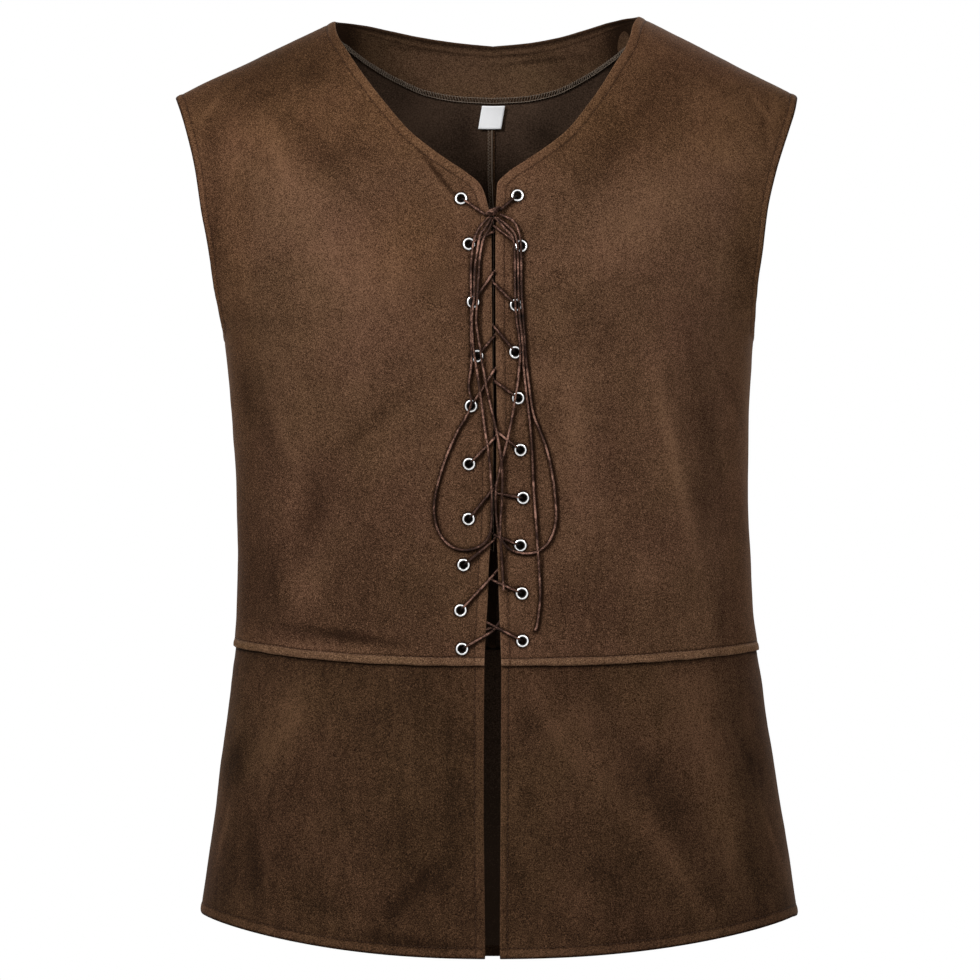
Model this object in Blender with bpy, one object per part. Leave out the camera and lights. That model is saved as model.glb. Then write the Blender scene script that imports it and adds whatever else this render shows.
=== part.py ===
"""A suede leather vest, laced up the front and filled out as if worn, with nobody inside it.

The tables are in millimetres, and a mesh is turned into metres when it is made. +Z is up, the
front faces -Y and +X is on the right as the front is seen. The origin lies midway between the
shoulders, at the height of the middle of the shoulder seams, where the wearer carries the vest.
"""

import math
from collections import namedtuple

import bmesh
import bpy
import numpy as np
from mathutils import Matrix, Vector

MM = 0.001

# Driving sizes, in millimetres
WALL = 1.2
GAP = 0.3
FACING_WALL = 1.0
ALLOWANCE_WALL = 1.0
LABEL_WALL = 1.0
SECTION_POWER = 2.4
CROWN_POWER = 2.2
CROWN_ROOT = 1.8
RISE = {-1: 240.0, 1: 190.0}
RIDGE_MIDDLE = 60.0
NAPE_HEIGHT = 14.9
BACK_NECK_SAG = {-1: 0.0, 1: 1.6}
BACK_ARMHOLE_INSET = 4.0
WAIST_MIDDLE = -483.0
WAIST_REACH = 209.0
WAIST_POWER = 2.6
WAIST_RISE = {-1: 13.4, 1: 9.8}
HEM_MIDDLE = {-1: -710.8, 1: -727.5}
HEM_EDGE = {-1: -680.5, 1: -683.9}
HEM_REACH = 238.0
HEM_POWER = 2.2
LAP = 5.8
TUCK = 8.0
TUCK_DEPTH = WALL + GAP + 0.05
LACE = 2.0
EYELET_HOLE = 2.75
EYELET_BARREL = 3.15
EYELET_RIM = 4.8
EYELET_PROUD = 1.05
EYELET_SEAT = 0.42
EYELET_TAIL = 0.6
EYELET_SIDES = 10
EDGE_COLUMNS = (0.0, 13.0, 28.0)
ROUND_COLUMNS = 8
BACK_COLUMNS = 9
CORD_SAMPLES = 2

# Sides as the front is seen, and the two faces of the vest
LEFT, RIGHT = -1, 1
FRONT, BACK = -1, 1
SIDE_NAME = {LEFT: "left", RIGHT: "right"}

Shoulder = namedtuple("Shoulder", "neck_x neck_z tip_x tip_z")
SHOULDER = {
    LEFT: Shoulder(126.4, 29.4, 253.6, -31.2),
    RIGHT: Shoulder(116.0, 33.2, 243.2, -30.8),
}

# The level sections of the general figure: half widths on each side, depths in front and behind
Section = namedtuple("Section", "z left right front back")
SECTIONS = (
    Section(-740.0, 243.0, 253.2, 131.0, 128.0),
    Section(-681.0, 233.6, 243.4, 130.0, 126.0),
    Section(-618.0, 224.2, 233.6, 125.0, 118.0),
    Section(-554.0, 216.0, 222.9, 118.0, 109.0),
    Section(-506.0, 209.8, 215.7, 114.0, 103.0),
    Section(-474.0, 207.3, 212.3, 113.0, 101.0),
    Section(-442.0, 205.0, 207.9, 113.0, 100.5),
    Section(-400.0, 204.0, 205.8, 114.5, 101.5),
    Section(-354.0, 204.8, 204.0, 118.0, 105.0),
    Section(-298.0, 208.0, 204.1, 124.0, 111.0),
    Section(-250.0, 212.0, 206.4, 128.8, 116.0),
    Section(-222.0, 215.5, 208.7, 130.7, 118.6),
    Section(-208.0, 226.0, 218.0, 131.2, 119.8),
    Section(-186.0, 240.0, 231.0, 131.4, 121.2),
    Section(-154.0, 260.0, 251.0, 130.4, 122.0),
    Section(-114.0, 282.0, 272.0, 127.0, 122.0),
    Section(-74.0, 288.0, 278.0, 122.0, 121.0),
    Section(60.0, 290.0, 280.0, 118.0, 118.0),
)

# The front edges from the neck points down to the hem, as X on each side
FrontEdge = namedtuple("FrontEdge", "z left right")
FRONT_EDGES = (
    FrontEdge(-740.0, -6.2, 5.4),
    FrontEdge(-708.0, -6.3, 5.4),
    FrontEdge(-588.0, -7.4, 6.0),
    FrontEdge(-482.0, -6.9, 6.5),
    FrontEdge(-467.0, -6.4, 6.0),
    FrontEdge(-432.0, -4.4, 4.7),
    FrontEdge(-400.0, -3.2, 3.9),
    FrontEdge(-381.0, -1.4, 2.9),
    FrontEdge(-353.0, -0.6, 2.6),
    FrontEdge(-283.0, 0.1, 3.0),
    FrontEdge(-244.0, -0.6, 2.3),
    FrontEdge(-198.0, -1.0, 2.0),
    FrontEdge(-158.0, -1.3, 1.9),
    FrontEdge(-129.0, -2.8, 2.3),
    FrontEdge(-121.7, -4.6, 2.4),
    FrontEdge(-116.2, -6.0, 2.7),
    FrontEdge(-106.7, -10.2, 3.4),
    FrontEdge(-97.2, -21.1, 11.7),
    FrontEdge(-87.6, -35.2, 25.7),
    FrontEdge(-78.0, -48.6, 39.8),
    FrontEdge(-63.5, -65.9, 57.9),
    FrontEdge(-44.1, -82.5, 73.7),
    FrontEdge(-24.4, -97.7, 87.3),
    FrontEdge(-9.4, -108.2, 96.2),
    FrontEdge(6.1, -118.0, 105.6),
    FrontEdge(16.7, -124.0, 109.6),
    FrontEdge(24.0, -126.0, 111.4),
    FrontEdge(28.8, -126.4, 113.6),
    FrontEdge(32.0, -126.4, 116.0),
)

# The armhole edge from the shoulder tip to the underarm
ArmEdge = namedtuple("ArmEdge", "z left right")
ARM_EDGES = (
    ArmEdge(-222.0, 215.5, 208.7),
    ArmEdge(-203.0, 217.7, 208.3),
    ArmEdge(-188.0, 220.5, 208.8),
    ArmEdge(-156.0, 224.8, 213.0),
    ArmEdge(-125.0, 230.4, 216.8),
    ArmEdge(-92.0, 235.8, 224.5),
    ArmEdge(-60.0, 243.8, 235.0),
    ArmEdge(-43.0, 249.3, 240.6),
    ArmEdge(-32.0, 253.6, 243.2),
)
UNDERARM = -222.0

# Rows of the front from the shoulder seam down, measured from the neck point and the shoulder tip
YokeRow = namedtuple("YokeRow", "inner_drop outer_drop")
YOKE_ROWS = (
    YokeRow(0.0, 0.0),
    YokeRow(1.6, 1.2),
    YokeRow(7.0, 5.0),
    YokeRow(17.0, 13.0),
    YokeRow(32.0, 25.0),
    YokeRow(52.0, 42.0),
    YokeRow(74.0, 64.0),
    YokeRow(94.0, 88.0),
    YokeRow(110.0, 112.0),
    YokeRow(124.0, 134.0),
    YokeRow(140.0, 153.0),
    YokeRow(158.0, 168.0),
    YokeRow(176.0, 180.0),
    YokeRow(194.0, 190.0),
)

# Rows from the underarm to the waist seam, measured up from the seam; proud lifts the lapped edge
BodyRow = namedtuple("BodyRow", "inner_rise outer_rise proud")
FRONT_BODY_ROWS = (
    BodyRow(299.0, 230.0, 0.0),
    BodyRow(272.0, 209.0, 0.0),
    BodyRow(246.0, 189.0, 0.0),
    BodyRow(220.0, 169.0, 0.0),
    BodyRow(194.0, 149.0, 0.0),
    BodyRow(168.0, 129.0, 0.0),
    BodyRow(142.0, 110.0, 0.0),
    BodyRow(116.0, 91.0, 0.0),
    BodyRow(90.0, 72.0, 0.0),
    BodyRow(64.0, 53.0, 0.0),
    BodyRow(38.0, 34.0, 0.0),
    BodyRow(14.0, 14.0, 0.0),
    BodyRow(LAP, LAP, 0.0),
    BodyRow(LAP - 1.5, LAP - 1.5, 0.8),
    BodyRow(0.0, 0.0, 0.9),
)
BACK_BODY_ROWS = (
    BodyRow(250.0, 222.0, 0.0),
    BodyRow(214.0, 196.0, 0.0),
    BodyRow(178.0, 168.0, 0.0),
    BodyRow(142.0, 139.0, 0.0),
    BodyRow(110.0, 109.0, 0.0),
    BodyRow(79.0, 79.0, 0.0),
    BodyRow(51.0, 51.0, 0.0),
    BodyRow(28.0, 28.0, 0.0),
    BodyRow(12.0, 12.0, 0.0),
    BodyRow(LAP, LAP, 0.0),
    BodyRow(LAP - 1.5, LAP - 1.5, 0.8),
    BodyRow(0.0, 0.0, 0.9),
)

# The back neck band from the centre back to the shoulder: the neck edge, and the facing's lower edge
NeckRow = namedtuple("NeckRow", "edge_x edge_dip band_x band_z")
NECK_ROWS = (
    NeckRow(0.0, 1.0, 0.0, -29.4),
    NeckRow(30.0, 0.82, 27.0, -28.0),
    NeckRow(58.0, 0.57, 53.0, -23.5),
    NeckRow(83.0, 0.27, 79.0, -12.8),
    NeckRow(104.0, 0.04, 101.0, -0.5),
    NeckRow(118.0, -0.02, 121.0, 12.8),
    NeckRow(126.4, 0.0, 140.0, 22.3),
)
BAND_STEPS = 2

# Rows of the back below the band: drops at the armhole for those that start on the band, then
# heights at the centre back and at the armhole
BACK_BAND_DROPS = (0.0, 3.0, 10.0, 22.0, 38.0, 58.0, 80.0)
BackRow = namedtuple("BackRow", "inner_z outer_z")
BACK_ROWS = (
    BackRow(-58.0, -134.0),
    BackRow(-88.0, -156.0),
    BackRow(-118.0, -176.0),
    BackRow(-148.0, -194.0),
    BackRow(-176.0, -210.0),
    BackRow(-204.0, UNDERARM),
)

# Rows of the skirt: its top tucked under the lap, then shares of the way from the waist to the hem
TuckRow = namedtuple("TuckRow", "rise sunk")
TUCK_ROWS = (
    TuckRow(TUCK, TUCK_DEPTH),
    TuckRow(0.0, TUCK_DEPTH),
    TuckRow(-7.0, 1.3),
    TuckRow(-16.0, 0.7),
    TuckRow(-30.0, 0.0),
)
SKIRT_SHARES = (0.28, 0.42, 0.56, 0.7, 0.85, 1.0)

# The largest folds, each a soft ridge or trough along a line on one face
Fold = namedtuple("Fold", "face top_x top_z end_x end_z reach height")
FOLDS = (
    Fold(FRONT, -64.0, -256.0, -152.0, -343.0, 16.0, -4.0),
    Fold(FRONT, -185.0, -275.0, -152.0, -343.0, 15.0, -3.0),
    Fold(FRONT, -160.0, -228.0, -162.0, -306.0, 22.0, 3.0),
    Fold(FRONT, -152.0, -350.0, -155.0, -418.0, 18.0, -3.0),
    Fold(FRONT, -162.0, -464.0, -112.0, -466.0, 9.0, -2.0),
    Fold(FRONT, -172.0, -112.0, -96.0, -188.0, 34.0, 4.0),
    Fold(FRONT, -134.0, -62.0, -112.0, -112.0, 24.0, -3.0),
    Fold(FRONT, 84.0, -172.0, 168.0, -122.0, 34.0, 4.0),
    Fold(FRONT, 131.0, -256.0, 158.0, -388.0, 14.0, 3.5),
    Fold(FRONT, 176.0, -236.0, 184.0, -400.0, 15.0, -3.0),
    Fold(FRONT, -156.0, -506.0, -176.0, -662.0, 17.0, 4.0),
    Fold(FRONT, -46.0, -506.0, -52.0, -590.0, 16.0, -2.5),
    Fold(FRONT, -34.0, -632.0, -82.0, -694.0, 14.0, -3.0),
    Fold(FRONT, 54.0, -512.0, 178.0, -672.0, 13.0, 4.0),
    Fold(FRONT, 92.0, -510.0, 208.0, -650.0, 12.0, -3.0),
    Fold(FRONT, 168.0, -500.0, 198.0, -602.0, 13.0, 3.0),
    Fold(FRONT, 44.0, -560.0, 68.0, -616.0, 14.0, -3.0),
    Fold(FRONT, 80.0, -620.0, 98.0, -690.0, 15.0, 2.5),
    Fold(BACK, -70.0, -96.0, -150.0, -170.0, 30.0, 3.5),
    Fold(BACK, 78.0, -84.0, 146.0, -182.0, 28.0, 3.0),
    Fold(BACK, -58.0, -330.0, -142.0, -398.0, 16.0, -3.5),
    Fold(BACK, 50.0, -352.0, 138.0, -420.0, 15.0, -3.0),
    Fold(BACK, -168.0, -250.0, -156.0, -330.0, 17.0, -2.5),
    Fold(BACK, -96.0, -508.0, -128.0, -680.0, 18.0, 4.0),
    Fold(BACK, 30.0, -520.0, 44.0, -690.0, 20.0, -3.0),
    Fold(BACK, 110.0, -506.0, 158.0, -672.0, 16.0, 3.5),
    Fold(BACK, -30.0, -560.0, -26.0, -700.0, 15.0, 2.5),
)

# Eyelet centres up each front edge, from the top down
Place = namedtuple("Place", "x z")
EYELETS = {
    LEFT: (
        Place(-25.0, -118.2),
        Place(-18.8, -153.9),
        Place(-15.6, -199.1),
        Place(-12.5, -241.2),
        Place(-17.2, -280.1),
        Place(-18.8, -325.3),
        Place(-19.2, -368.3),
        Place(-23.1, -404.2),
        Place(-25.5, -439.8),
        Place(-24.3, -469.9),
    ),
    RIGHT: (
        Place(19.1, -115.8),
        Place(21.8, -155.5),
        Place(17.9, -201.5),
        Place(17.4, -238.3),
        Place(19.6, -273.9),
        Place(21.4, -314.4),
        Place(23.4, -351.8),
        Place(21.4, -389.0),
        Place(22.6, -426.5),
        Place(23.0, -463.7),
    ),
}

# Where the lace dives between the fronts after each eyelet but the top one, from the top down
DIVES = {
    LEFT: (-144.5, -175.8, -225.9, -251.8, -304.6, -343.3, -384.7, -412.0, -455.8),
    RIGHT: (-139.8, -184.3, -218.2, -260.6, -298.8, -347.6, -380.4, -416.3, -451.5),
}
LACE_MIDDLE = (-453.6, -9.0)

# The lace as it comes out over an eyelet: distance from its centre, and height over the cloth
EYELET_EXIT = ((1.1, 1.35), (2.4, 2.6), (5.3, 2.4))

# Half sizes of the knot, and its middle as X, Z and height over the cloth
Knot = namedtuple("Knot", "x z lift half_width half_depth half_height")
KNOT = Knot(0.0, -129.6, 3.9, 5.4, 3.4, 4.2)
KNOT_ENTRY = {LEFT: (-6.0, -131.6), RIGHT: (5.5, -127.9)}

# The bow, each stretch a list of route points: X, Z and height over the cloth
LOOP_LEFT = (
    (-3.1, -133.4, 3.3), (-6.4, -137.0, 3.8), (-10.7, -142.2, 4.4), (-15.3, -153.6, 4.8),
    (-17.2, -173.5, 2.0), (-16.9, -200.8, 2.7), (-17.2, -214.0, 2.0), (-17.0, -226.0, 2.2),
    (-16.6, -240.0, 2.7), (-17.2, -250.0, 2.1), (-19.0, -264.6, 2.4), (-16.9, -277.4, 4.8),
    (-21.5, -289.1, 2.2), (-28.1, -300.4, 1.7), (-37.5, -322.2, 1.7), (-43.8, -344.0, 1.7),
    (-46.1, -362.0, 1.7), (-42.2, -378.4, 1.7), (-32.9, -389.4, 1.7), (-21.2, -392.5, 1.8),
    (-10.2, -389.3, 2.2), (-3.6, -382.3, 3.0), (-1.2, -371.4, 3.4), (-1.2, -345.6, 3.9),
    (-2.1, -330.8, 3.2), (-4.1, -312.6, 4.4), (-6.3, -298.8, 3.0), (-8.4, -282.5, 3.4),
    (-10.3, -268.5, 4.6), (-12.2, -255.2, 3.6), (-14.4, -240.6, 4.9), (-16.1, -226.5, 4.7),
    (-16.4, -214.8, 4.5), (-15.7, -204.0, 5.0), (-14.7, -194.6, 4.9), (-14.5, -182.9, 4.0),
    (-13.8, -169.7, 3.8), (-10.3, -149.0, 4.9), (-6.4, -142.8, 5.2), (-1.2, -134.0, 4.7),
)
LOOP_RIGHT = (
    (1.3, -134.0, 4.8), (8.5, -142.1, 5.2), (15.5, -150.3, 4.8), (16.9, -164.9, 3.0),
    (17.0, -184.4, 2.2), (17.4, -201.4, 4.8), (18.3, -213.2, 2.8), (21.1, -235.0, 2.7),
    (19.3, -259.9, 2.4), (17.2, -273.0, 5.1), (15.1, -286.4, 2.6), (11.0, -306.6, 4.5),
    (6.8, -323.0, 2.0), (3.2, -338.6, 3.6), (2.1, -347.2, 4.0), (2.0, -359.7, 2.0),
    (3.4, -373.7, 2.9), (6.2, -383.5, 4.1), (13.2, -391.7, 2.4), (23.4, -394.8, 1.9),
    (34.3, -393.7, 1.7), (43.7, -385.5, 1.7), (48.8, -370.6, 1.7), (48.4, -351.8, 1.7),
    (45.5, -330.0, 1.7), (41.0, -311.3, 1.7), (35.5, -297.2, 1.7), (31.6, -287.1, 1.8),
    (29.2, -273.9, 1.9), (27.8, -263.0, 1.9), (25.0, -238.1, 2.0), (24.2, -224.9, 2.0),
    (23.3, -211.7, 2.3), (22.4, -197.7, 2.6), (22.1, -185.2, 2.0), (21.8, -162.6, 3.7),
    (21.5, -152.5, 4.7), (19.1, -142.7, 4.2), (14.6, -136.0, 4.0), (5.3, -131.5, 3.6),
)
TAIL_LEFT = (
    (0.3, -134.2, 2.4), (-3.4, -143.0, 3.4), (-7.4, -150.4, 4.2), (-10.3, -164.1, 2.4),
    (-11.0, -174.3, 2.2), (-11.7, -185.2, 3.8), (-12.3, -195.4, 4.7), (-12.8, -204.7, 3.6),
    (-13.1, -214.8, 3.0), (-11.6, -226.5, 3.6), (-9.7, -237.4, 5.1), (-8.6, -246.1, 3.2),
    (-6.8, -255.2, 3.2), (-5.7, -263.0, 4.2), (-3.7, -272.3, 2.4), (-1.2, -282.5, 2.0),
    (0.7, -291.0, 2.6), (2.6, -299.6, 3.9), (4.8, -311.3, 3.4), (6.5, -324.0, 4.9),
    (7.2, -337.8, 3.4), (7.0, -349.0, 4.7), (6.6, -357.4, 3.0), (5.7, -369.5, 4.2),
    (5.6, -381.9, 6.6), (6.2, -390.5, 4.6), (6.8, -400.3, 2.0), (7.4, -411.2, 2.6),
    (7.9, -418.8, 4.2), (8.1, -423.7, 4.0),
)
TAIL_RIGHT = (
    (3.2, -133.6, 2.9), (11.9, -140.8, 3.4), (16.2, -145.6, 4.0), (18.9, -154.2, 5.0),
    (19.3, -164.2, 3.4), (19.5, -174.3, 2.1), (19.6, -185.2, 2.2), (19.9, -195.3, 3.0),
    (20.4, -207.0, 3.2), (21.6, -219.5, 4.2), (22.8, -230.4, 4.7), (23.3, -240.5, 3.6),
    (23.7, -249.8, 2.2), (25.0, -262.2, 2.0), (26.4, -273.9, 2.0), (27.9, -286.3, 2.0),
    (29.3, -300.4, 1.8), (30.4, -316.7, 1.7), (31.6, -344.8, 1.7), (33.4, -369.0, 2.0),
    (34.3, -384.7, 3.4), (34.8, -393.6, 4.3), (35.6, -403.4, 3.2), (36.4, -415.9, 1.8),
    (36.7, -429.2, 1.7), (35.7, -441.0, 1.7), (34.5, -450.4, 1.7), (32.7, -455.4, 1.8),
)

# Label corners: half width, and the heights of its top and bottom
LABEL_HALF = 9.6
LABEL_TOP = -31.0
LABEL_BOTTOM = -50.0
LABEL_LEAN = 1.6


# Curves through the tables


def smooth_curve(xs, ys):
    """A curve through the points that never overshoots them, held level past its ends."""
    order = np.argsort(xs)
    xs = np.array(xs, float)[order]
    ys = np.array(ys, float)[order]
    steps = np.diff(xs)
    slopes = np.diff(ys) / steps
    tangents = np.zeros(len(xs))
    tangents[0] = slopes[0]
    tangents[-1] = slopes[-1]
    for i in range(1, len(xs) - 1):
        if slopes[i - 1] * slopes[i] > 0:
            before = 2 * steps[i] + steps[i - 1]
            after = steps[i] + 2 * steps[i - 1]
            tangents[i] = (before + after) / (before / slopes[i - 1] + after / slopes[i])

    def value(x):
        x = min(max(x, xs[0]), xs[-1])
        i = int(min(max(np.searchsorted(xs, x) - 1, 0), len(xs) - 2))
        t = (x - xs[i]) / steps[i]
        return float(
            (1 + 2 * t) * (1 - t) ** 2 * ys[i]
            + t * (1 - t) ** 2 * steps[i] * tangents[i]
            + t * t * (3 - 2 * t) * ys[i + 1]
            + t * t * (t - 1) * steps[i] * tangents[i + 1]
        )

    return value


def curve_of(table, column):
    return smooth_curve([row.z for row in table], [getattr(row, column) for row in table])


HALF_WIDTH = {LEFT: curve_of(SECTIONS, "left"), RIGHT: curve_of(SECTIONS, "right")}
DEPTH = {FRONT: curve_of(SECTIONS, "front"), BACK: curve_of(SECTIONS, "back")}
FRONT_EDGE = {LEFT: curve_of(FRONT_EDGES, "left"), RIGHT: curve_of(FRONT_EDGES, "right")}
ARM_EDGE = {LEFT: curve_of(ARM_EDGES, "left"), RIGHT: curve_of(ARM_EDGES, "right")}


# The figure that fills the vest


def side_of(x):
    return LEFT if x < 0 else RIGHT


def ridge_height(x):
    """Height of the shoulder line, carried on across the neck as an arch."""
    shoulder = SHOULDER[side_of(x)]
    across = abs(x)
    if across < shoulder.neck_x:
        return RIDGE_MIDDLE - (RIDGE_MIDDLE - shoulder.neck_z) * (across / shoulder.neck_x) ** 2
    share = (across - shoulder.neck_x) / (shoulder.tip_x - shoulder.neck_x)
    return shoulder.neck_z + (shoulder.tip_z - shoulder.neck_z) * share


def fold_height(x, z, face):
    """Sum of the folds at a point, each a bell-shaped ridge about its line."""
    total = 0.0
    for fold in FOLDS:
        if fold.face != face:
            continue
        along = Vector((fold.end_x - fold.top_x, fold.end_z - fold.top_z))
        offset = Vector((x - fold.top_x, z - fold.top_z))
        share = min(max(offset.dot(along) / along.length_squared, 0.0), 1.0)
        distance = (offset - along * share).length
        total += fold.height * math.exp(-((distance / fold.reach) ** 2))
    return total


def cloth_point(x, z, face):
    """The outer surface at X and Z, on the front or the back."""
    reach = min(round(abs(x) / HALF_WIDTH[side_of(x)](z), 9), 1.0)
    roundness = (1.0 - reach**SECTION_POWER) ** (1.0 / SECTION_POWER)
    drop = min(max((ridge_height(x) - z) / RISE[face], 0.0), 1.0)
    crown = (1.0 - (1.0 - drop) ** CROWN_POWER) ** (1.0 / CROWN_ROOT)
    depth = (DEPTH[face](z) + fold_height(x, z, face)) * roundness * crown
    return Vector((x, face * (depth + GAP / 2), z))


def over_front(x, z, lift):
    """A point at a height over the front's outer surface."""
    step = 0.5
    across = cloth_point(x + step, z, FRONT) - cloth_point(x - step, z, FRONT)
    up = cloth_point(x, z + step, FRONT) - cloth_point(x, z - step, FRONT)
    normal = across.cross(up).normalized()
    return cloth_point(x, z, FRONT) + normal * lift, normal


def waist_height(x):
    share = min(abs(x) / WAIST_REACH, 1.0)
    return WAIST_MIDDLE + WAIST_RISE[side_of(x)] * share**WAIST_POWER


def hem_height(x, face):
    share = min(abs(x) / HEM_REACH, 1.0)
    return HEM_MIDDLE[face] + (HEM_EDGE[side_of(x)] - HEM_MIDDLE[face]) * share**HEM_POWER


# Grids of points


def section_angle(across, z, side):
    share = min(max(across, 0.0) / HALF_WIDTH[side](z), 1.0)
    return math.asin(share ** (SECTION_POWER / 2))


def distance_at(angle, side, height_at):
    """Distance from the middle at an angle round the section, on a row that rises across it."""
    across = 200.0
    for _ in range(12):
        across = HALF_WIDTH[side](height_at(across)) * math.sin(angle) ** (2 / SECTION_POWER)
    return across


def row_of_points(side, face, inner, outer, height_at, near_columns, columns):
    """One row from its inner to its outer end, given as distances from the middle.

    The near columns keep their distance from the inner end, and the rest are evenly spaced in
    angle round the section.
    """
    points = []
    for distance in near_columns:
        across = inner + distance
        points.append(cloth_point(side * across, height_at(across), face))
    start = section_angle(across, height_at(across), side)
    end = section_angle(outer, height_at(outer), side)
    for i in range(1, columns + 1):
        across = distance_at(start + (end - start) * i / columns, side, height_at)
        points.append(cloth_point(side * across, height_at(across), face))
    return points


def straight_row(side, face, inner, inner_z, outer, outer_z, near_columns, columns):
    def height_at(across):
        return inner_z + (outer_z - inner_z) * (across - inner) / (outer - inner)

    return row_of_points(side, face, inner, outer, height_at, near_columns, columns)


def armhole(side, face, z):
    """Distance of the armhole edge from the middle; the back's edge lies a little further in."""
    tip = SHOULDER[side].tip_z
    share = (tip - z) / (tip - UNDERARM)
    inset = BACK_ARMHOLE_INSET * math.sin(math.pi * share) if face == BACK else 0.0
    return ARM_EDGE[side](z) - inset


def raised(points, heights):
    """Marks how far a row stands over the figure, which is applied along its normals."""
    return [(point, heights) for point in points]


def front_yoke(side):
    shoulder = SHOULDER[side]
    rows = []
    for row in YOKE_ROWS:
        inner_z = shoulder.neck_z - row.inner_drop
        outer_z = shoulder.tip_z - row.outer_drop
        inner = side * FRONT_EDGE[side](inner_z)
        outer = armhole(side, FRONT, outer_z)
        points = straight_row(side, FRONT, inner, inner_z, outer, outer_z, EDGE_COLUMNS, ROUND_COLUMNS)
        rows.append(raised(points, 0.0))
    return rows


def body_rows(side, face, table, inner_at, near_columns, columns):
    """Rows between the underarm and the waist seam, which follow the seam's curve."""
    rows = []
    for row in table:
        inner = inner_at(WAIST_MIDDLE + row.inner_rise)
        outer = distance_at(math.pi / 2, side, lambda x: waist_height(side * x) + row.outer_rise)

        def height_at(across):
            share = (across - inner) / (outer - inner)
            rise = row.inner_rise + (row.outer_rise - row.inner_rise) * share
            return waist_height(side * across) + rise

        points = row_of_points(side, face, inner, outer, height_at, near_columns, columns)
        rows.append(raised(points, row.proud))
    return rows


def skirt_rows(side, face, inner_at, near_columns, columns):
    """Rows from the top tucked under the waist seam's lap down to the hem."""
    levels = [(row.rise, 0.0, row.sunk) for row in TUCK_ROWS]
    levels += [(0.0, share, 0.0) for share in SKIRT_SHARES]
    rows = []
    for rise, share, sunk in levels:

        def height_at(across):
            waist = waist_height(side * across)
            return waist + rise + (hem_height(side * across, face) - waist) * share

        inner = inner_at(height_at(0.0))
        outer = distance_at(math.pi / 2, side, height_at)
        points = row_of_points(side, face, inner, outer, height_at, near_columns, columns)
        rows.append(raised(points, -sunk))
    return rows


def neck_points(side, middle):
    """Matching points on the neck edge and on the lower edge of the facing, from the centre back.

    The first pair lies at X = middle.
    """
    shoulder = SHOULDER[side]
    scale = shoulder.neck_x / NECK_ROWS[-1].edge_x
    pairs = []
    for row in NECK_ROWS:
        edge_x = max(row.edge_x * scale, middle)
        band_x = max(row.band_x * scale, middle)
        sag = BACK_NECK_SAG[side] * math.sin(math.pi * row.edge_x / NECK_ROWS[-1].edge_x)
        edge_z = shoulder.neck_z - row.edge_dip * (shoulder.neck_z - NAPE_HEIGHT) - sag
        band_z = row.band_z
        if row is NECK_ROWS[-1]:
            band_z = ridge_height(side * band_x)
        pairs.append(((edge_x, edge_z), (band_x, band_z)))
    return pairs


def back_neck_band(side, middle):
    rows = []
    for (edge_x, edge_z), (band_x, band_z) in neck_points(side, middle):
        row = []
        for i in range(BAND_STEPS + 1):
            share = i / BAND_STEPS
            x = side * (edge_x + (band_x - edge_x) * share)
            row.append((cloth_point(x, edge_z + (band_z - edge_z) * share, BACK), 0.0))
        rows.append(row)
    return rows


def back_fan(side):
    """The back below the neck band, in rows from the shoulder seam down to the waist seam."""
    tip_z = SHOULDER[side].tip_z
    starts = [band for _, band in reversed(neck_points(side, GAP / 2))]
    ends = [tip_z - drop for drop in BACK_BAND_DROPS]
    for row in BACK_ROWS:
        starts.append((GAP / 2, row.inner_z))
        ends.append(row.outer_z)
    rows = []
    for (inner, inner_z), outer_z in zip(starts, ends):
        outer = armhole(side, BACK, outer_z)
        points = straight_row(side, BACK, inner, inner_z, outer, outer_z, (0.0,), BACK_COLUMNS)
        rows.append(raised(points, 0.0))
    return rows + body_rows(side, BACK, BACK_BODY_ROWS, lambda z: GAP / 2, (0.0,), BACK_COLUMNS)


# Solids


def material(name, colour, roughness, metallic=0.0):
    shade = bpy.data.materials.new(name)
    shade.use_nodes = True
    shader = shade.node_tree.nodes["Principled BSDF"]
    shader.inputs["Base Color"].default_value = (*colour, 1.0)
    shader.inputs["Roughness"].default_value = roughness
    shader.inputs["Metallic"].default_value = metallic
    shade.diffuse_color = (*colour, 1.0)
    return shade


def square_to_seams(normal, point):
    """Turns a normal at a seam to lie along it, so that the walls of both pieces meet squarely."""
    normal = normal.copy()
    if abs(abs(point.y) - GAP / 2) < 1e-4:
        normal.y = 0.0
    if abs(abs(point.x) - GAP / 2) < 1e-4 and point.y > 0:
        normal.x = 0.0
    return normal.normalized()


def open_surface(patches):
    """Joins grids of points into one surface that faces out: a bmesh in mm, and each vertex's lift."""
    mesh = bmesh.new()
    lift = mesh.verts.layers.float.new("lift")
    for rows in patches:
        grid = []
        for row in rows:
            line = []
            for point, height in row:
                vertex = mesh.verts.new(point)
                vertex[lift] = height
                line.append(vertex)
            grid.append(line)
        for upper, lower in zip(grid, grid[1:]):
            for i in range(len(upper) - 1):
                mesh.faces.new((upper[i], upper[i + 1], lower[i + 1], lower[i]))
    bmesh.ops.remove_doubles(mesh, verts=mesh.verts, dist=0.01)
    bmesh.ops.triangulate(mesh, faces=mesh.faces, quad_method="SHORT_EDGE")
    bmesh.ops.recalc_face_normals(mesh, faces=mesh.faces)
    mesh.normal_update()
    outward = sum(face.normal.y * face.calc_center_median().y for face in mesh.faces)
    if outward < 0:
        bmesh.ops.reverse_faces(mesh, faces=mesh.faces)
        mesh.normal_update()
    return mesh, lift


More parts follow.
